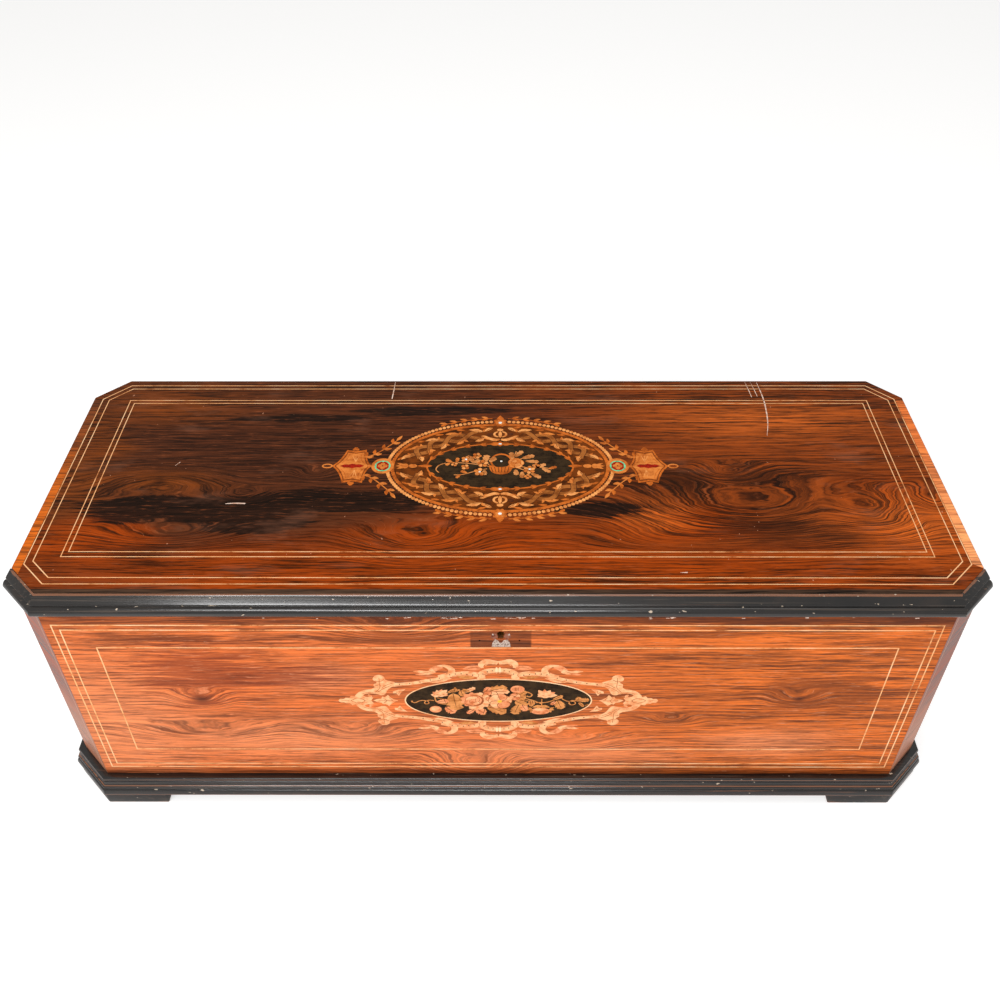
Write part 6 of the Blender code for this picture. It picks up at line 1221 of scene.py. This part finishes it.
for name, shape, wood in (("keyhole_scars", scars, scar), ("keyhole_filler", patches, filler),
                          ("plate_pin_holes", holes, hole_dark)):
    finish_piece(name, shape, "root", wood)
chips = bmesh.new()
draw = random.Random(8)
for left, right, count in ((-0.045, -0.020, 9), (0.005, 0.023, 8), (-0.20, 0.36, 16)):
    for _ in range(count):
        x, wide = draw.uniform(left, right), draw.uniform(0.0008, 0.0028)
        lay_plate(chips, lobed((x, draw.uniform(0.2566, 0.2588)), (wide, draw.uniform(0.0003, 0.0007)), 4,
                               0.4, draw.random()), front_place, LET_IN, 0.05)
finish_piece("rim_chips", chips, "root", scratch)


# Lock, hinges, strike and the movement's frames: cast and filed brass, dulled by age, on an iron bedplate.
# Cylinder and wheels are polished brass. Comb, levers and rods are steel, the comb's screws blued.
def metal(name, dark, light, roughness, head_height=None):
    """A brushed, tarnished metal. Past a head height, if one is given, it is blued steel screw heads."""
    finish = Finish(name, roughness, 1.0)
    tarnish = finish.noise(finish.place, 60.0, 4.0, 0.6)
    brushed = finish.noise(finish.scaled((900.0, 60.0, 900.0)), 1.0, 2.0)
    colour = finish.ramp(tarnish, (0.32, dark), (0.62, light))
    if head_height:
        blued = finish.ramp(tarnish, (0.32, paint(34, 44, 74)), (0.62, paint(66, 84, 124)))
        colour = finish.blend(finish.fit(finish.axes()["Z"], head_height - 0.0002, head_height), colour,
                              blued)
    finish.set("Base Color", colour)
    finish.set("Roughness", finish.maths("MULTIPLY_ADD", brushed, 0.25, roughness - 0.1))
    finish.bump(brushed, 0.00005, 0.5)
    return finish.material


brass = metal("aged_brass", paint(150, 112, 58), paint(206, 168, 96), 0.34)
bright_brass = metal("polished_brass", paint(196, 154, 84), paint(232, 196, 122), 0.24)
steel = metal("polished_steel", paint(120, 122, 126), paint(176, 178, 182), 0.28)
comb_base = metal("comb_base_brass", paint(150, 112, 58), paint(206, 168, 96), 0.34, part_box("comb")[1].z)
iron = metal("cast_iron", paint(52, 48, 44), paint(88, 80, 72), 0.55)
dress(brass, "lock_body", "lid_strike_plate", "lid_hinge_lower_left", "lid_hinge_lower_right",
      "lid_hinge_upper_left", "lid_hinge_upper_right", "control_bracket", "barrel_bracket",
      "cylinder_bridge_left", "cylinder_bridge_right", "governor_frame")
dress(comb_base, "comb_base")
dress(bright_brass, "music_cylinder", "spring_barrel", "great_wheel", "glass_lid_knob", "fly")
dress(steel, "lock_bolt", "cylinder_arbor", "winding_arbor", "ratchet_wheel", "lever_pawl", "click",
      "first_governor_wheel", "second_governor_wheel", "endless_screw", "start_stop_rod", "change_rod",
      "winding_lever", "comb", "tune_snail", "start_stop_lever", "change_repeat_lever")
dress(iron, "bedplate")
dress(walnut, "partition_left", "partition_right", "glass_lid_ledge")
dress(inner_black, "glass_lid_frame", "lever_grip")


# Pane of the inner lid: thin drawn glass, a little wavy, puttied into its black frame.
glass = Finish("window_glass", 0.02, specular=0.5)
glass.set("Base Color", (0.96, 0.98, 0.97, 1.0))
glass.set("Transmission Weight", 1.0)
glass.set("IOR", 1.46)
glass.bump(glass.noise(glass.place, 9.0, 2.0), 0.0004, 0.3)
dress(glass.material, "glass_pane")


# Tune card: foxed paper glued inside the lid, with a ruled border and a ruled line for each air.
# It faces down when the lid is shut. The real card's words are left off.
card = Finish("card_paper", 0.8, specular=0.2)
foxing = card.noise(card.place, 60.0, 4.0, 0.6)
card.set("Base Color", card.ramp(foxing, (0.30, paint(196, 176, 132)), (0.60, paint(228, 214, 178))))
card.bump(foxing, 0.0001, 0.4)
dress(card.material, "tune_card")

ink = Finish("card_ink", 0.7, specular=0.2)
ink.set("Base Color", ink.ramp(ink.noise(ink.place, 240.0, 3.0), (0.34, paint(96, 58, 40)),
                               (0.66, paint(60, 34, 26))))
CARD_LOW, CARD_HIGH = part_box("tune_card")


def card_place(x, y, height=0.0):
    return Vector((x, y, CARD_LOW.z - height * MM))


rules = bmesh.new()
for inset, thick in ((0.004, 0.0012), (0.0066, 0.0005)):
    edges = (CARD_LOW.x + inset, CARD_HIGH.x - inset, CARD_LOW.y + inset, CARD_HIGH.y - inset)
    inner = (edges[0] + thick, edges[1] - thick, edges[2] + thick, edges[3] - thick)
    lay_ring(rules, frame_line(*edges), frame_line(*inner), card_place, -0.1, 0.05)
for row in range(8):
    y = CARD_LOW.y + 0.020 + 0.0135 * row
    lay_plate(rules, frame_line(CARD_LOW.x + 0.030, CARD_HIGH.x - 0.016, y, y + 0.0004), card_place, -0.1,
              0.05)
    lay_plate(rules, oval((CARD_LOW.x + 0.020, y + 0.003), (0.0028, 0.0028), 12), card_place, -0.1, 0.05)
finish_piece("card_rules", rules, "lid", ink.material)


# Pins of the cylinder: short steel wires cemented through the brass, a row of them for each tooth.
# Each of the eight airs has its own pins, a third of a millimetre along from the next air's.
AXIS_Y, AXIS_Z, DRUM, PIN_TOP = 0.0146, 0.138, 0.0350, 0.0357
FIRST_TOOTH, TOOTH_PITCH, TEETH, AIRS = -0.184, 0.0038, 90, 8
pins = bmesh.new()
for tooth in range(TEETH):
    for air in range(AIRS):
        for _ in range(draw.randint(2, 5)):
            x = FIRST_TOOTH + TOOTH_PITCH * tooth + 0.00033 * (air - (AIRS - 1) / 2)
            angle = draw.uniform(0.0, math.tau)
            out = Vector((0.0, math.cos(angle), math.sin(angle)))
            over, along = Vector((0.0, -out.z, out.y)) * 0.00014, Vector((0.00014, 0.0, 0.0))
            foot_point, top_point = [Vector((x, AXIS_Y, AXIS_Z)) + out * reach for reach in (DRUM - 0.0003,
                                                                                             PIN_TOP)]
            rims = [[pins.verts.new(point + way) for way in (along, over, -along, -over)]
                    for point in (foot_point, top_point)]
            pins.faces.new(rims[0][::-1])
            pins.faces.new(rims[1])
            for index in range(4):
                pins.faces.new((rims[0][index], rims[0][index - 3], rims[1][index - 3], rims[1][index]))
finish_piece("cylinder_pins", pins, "cylinder", steel)
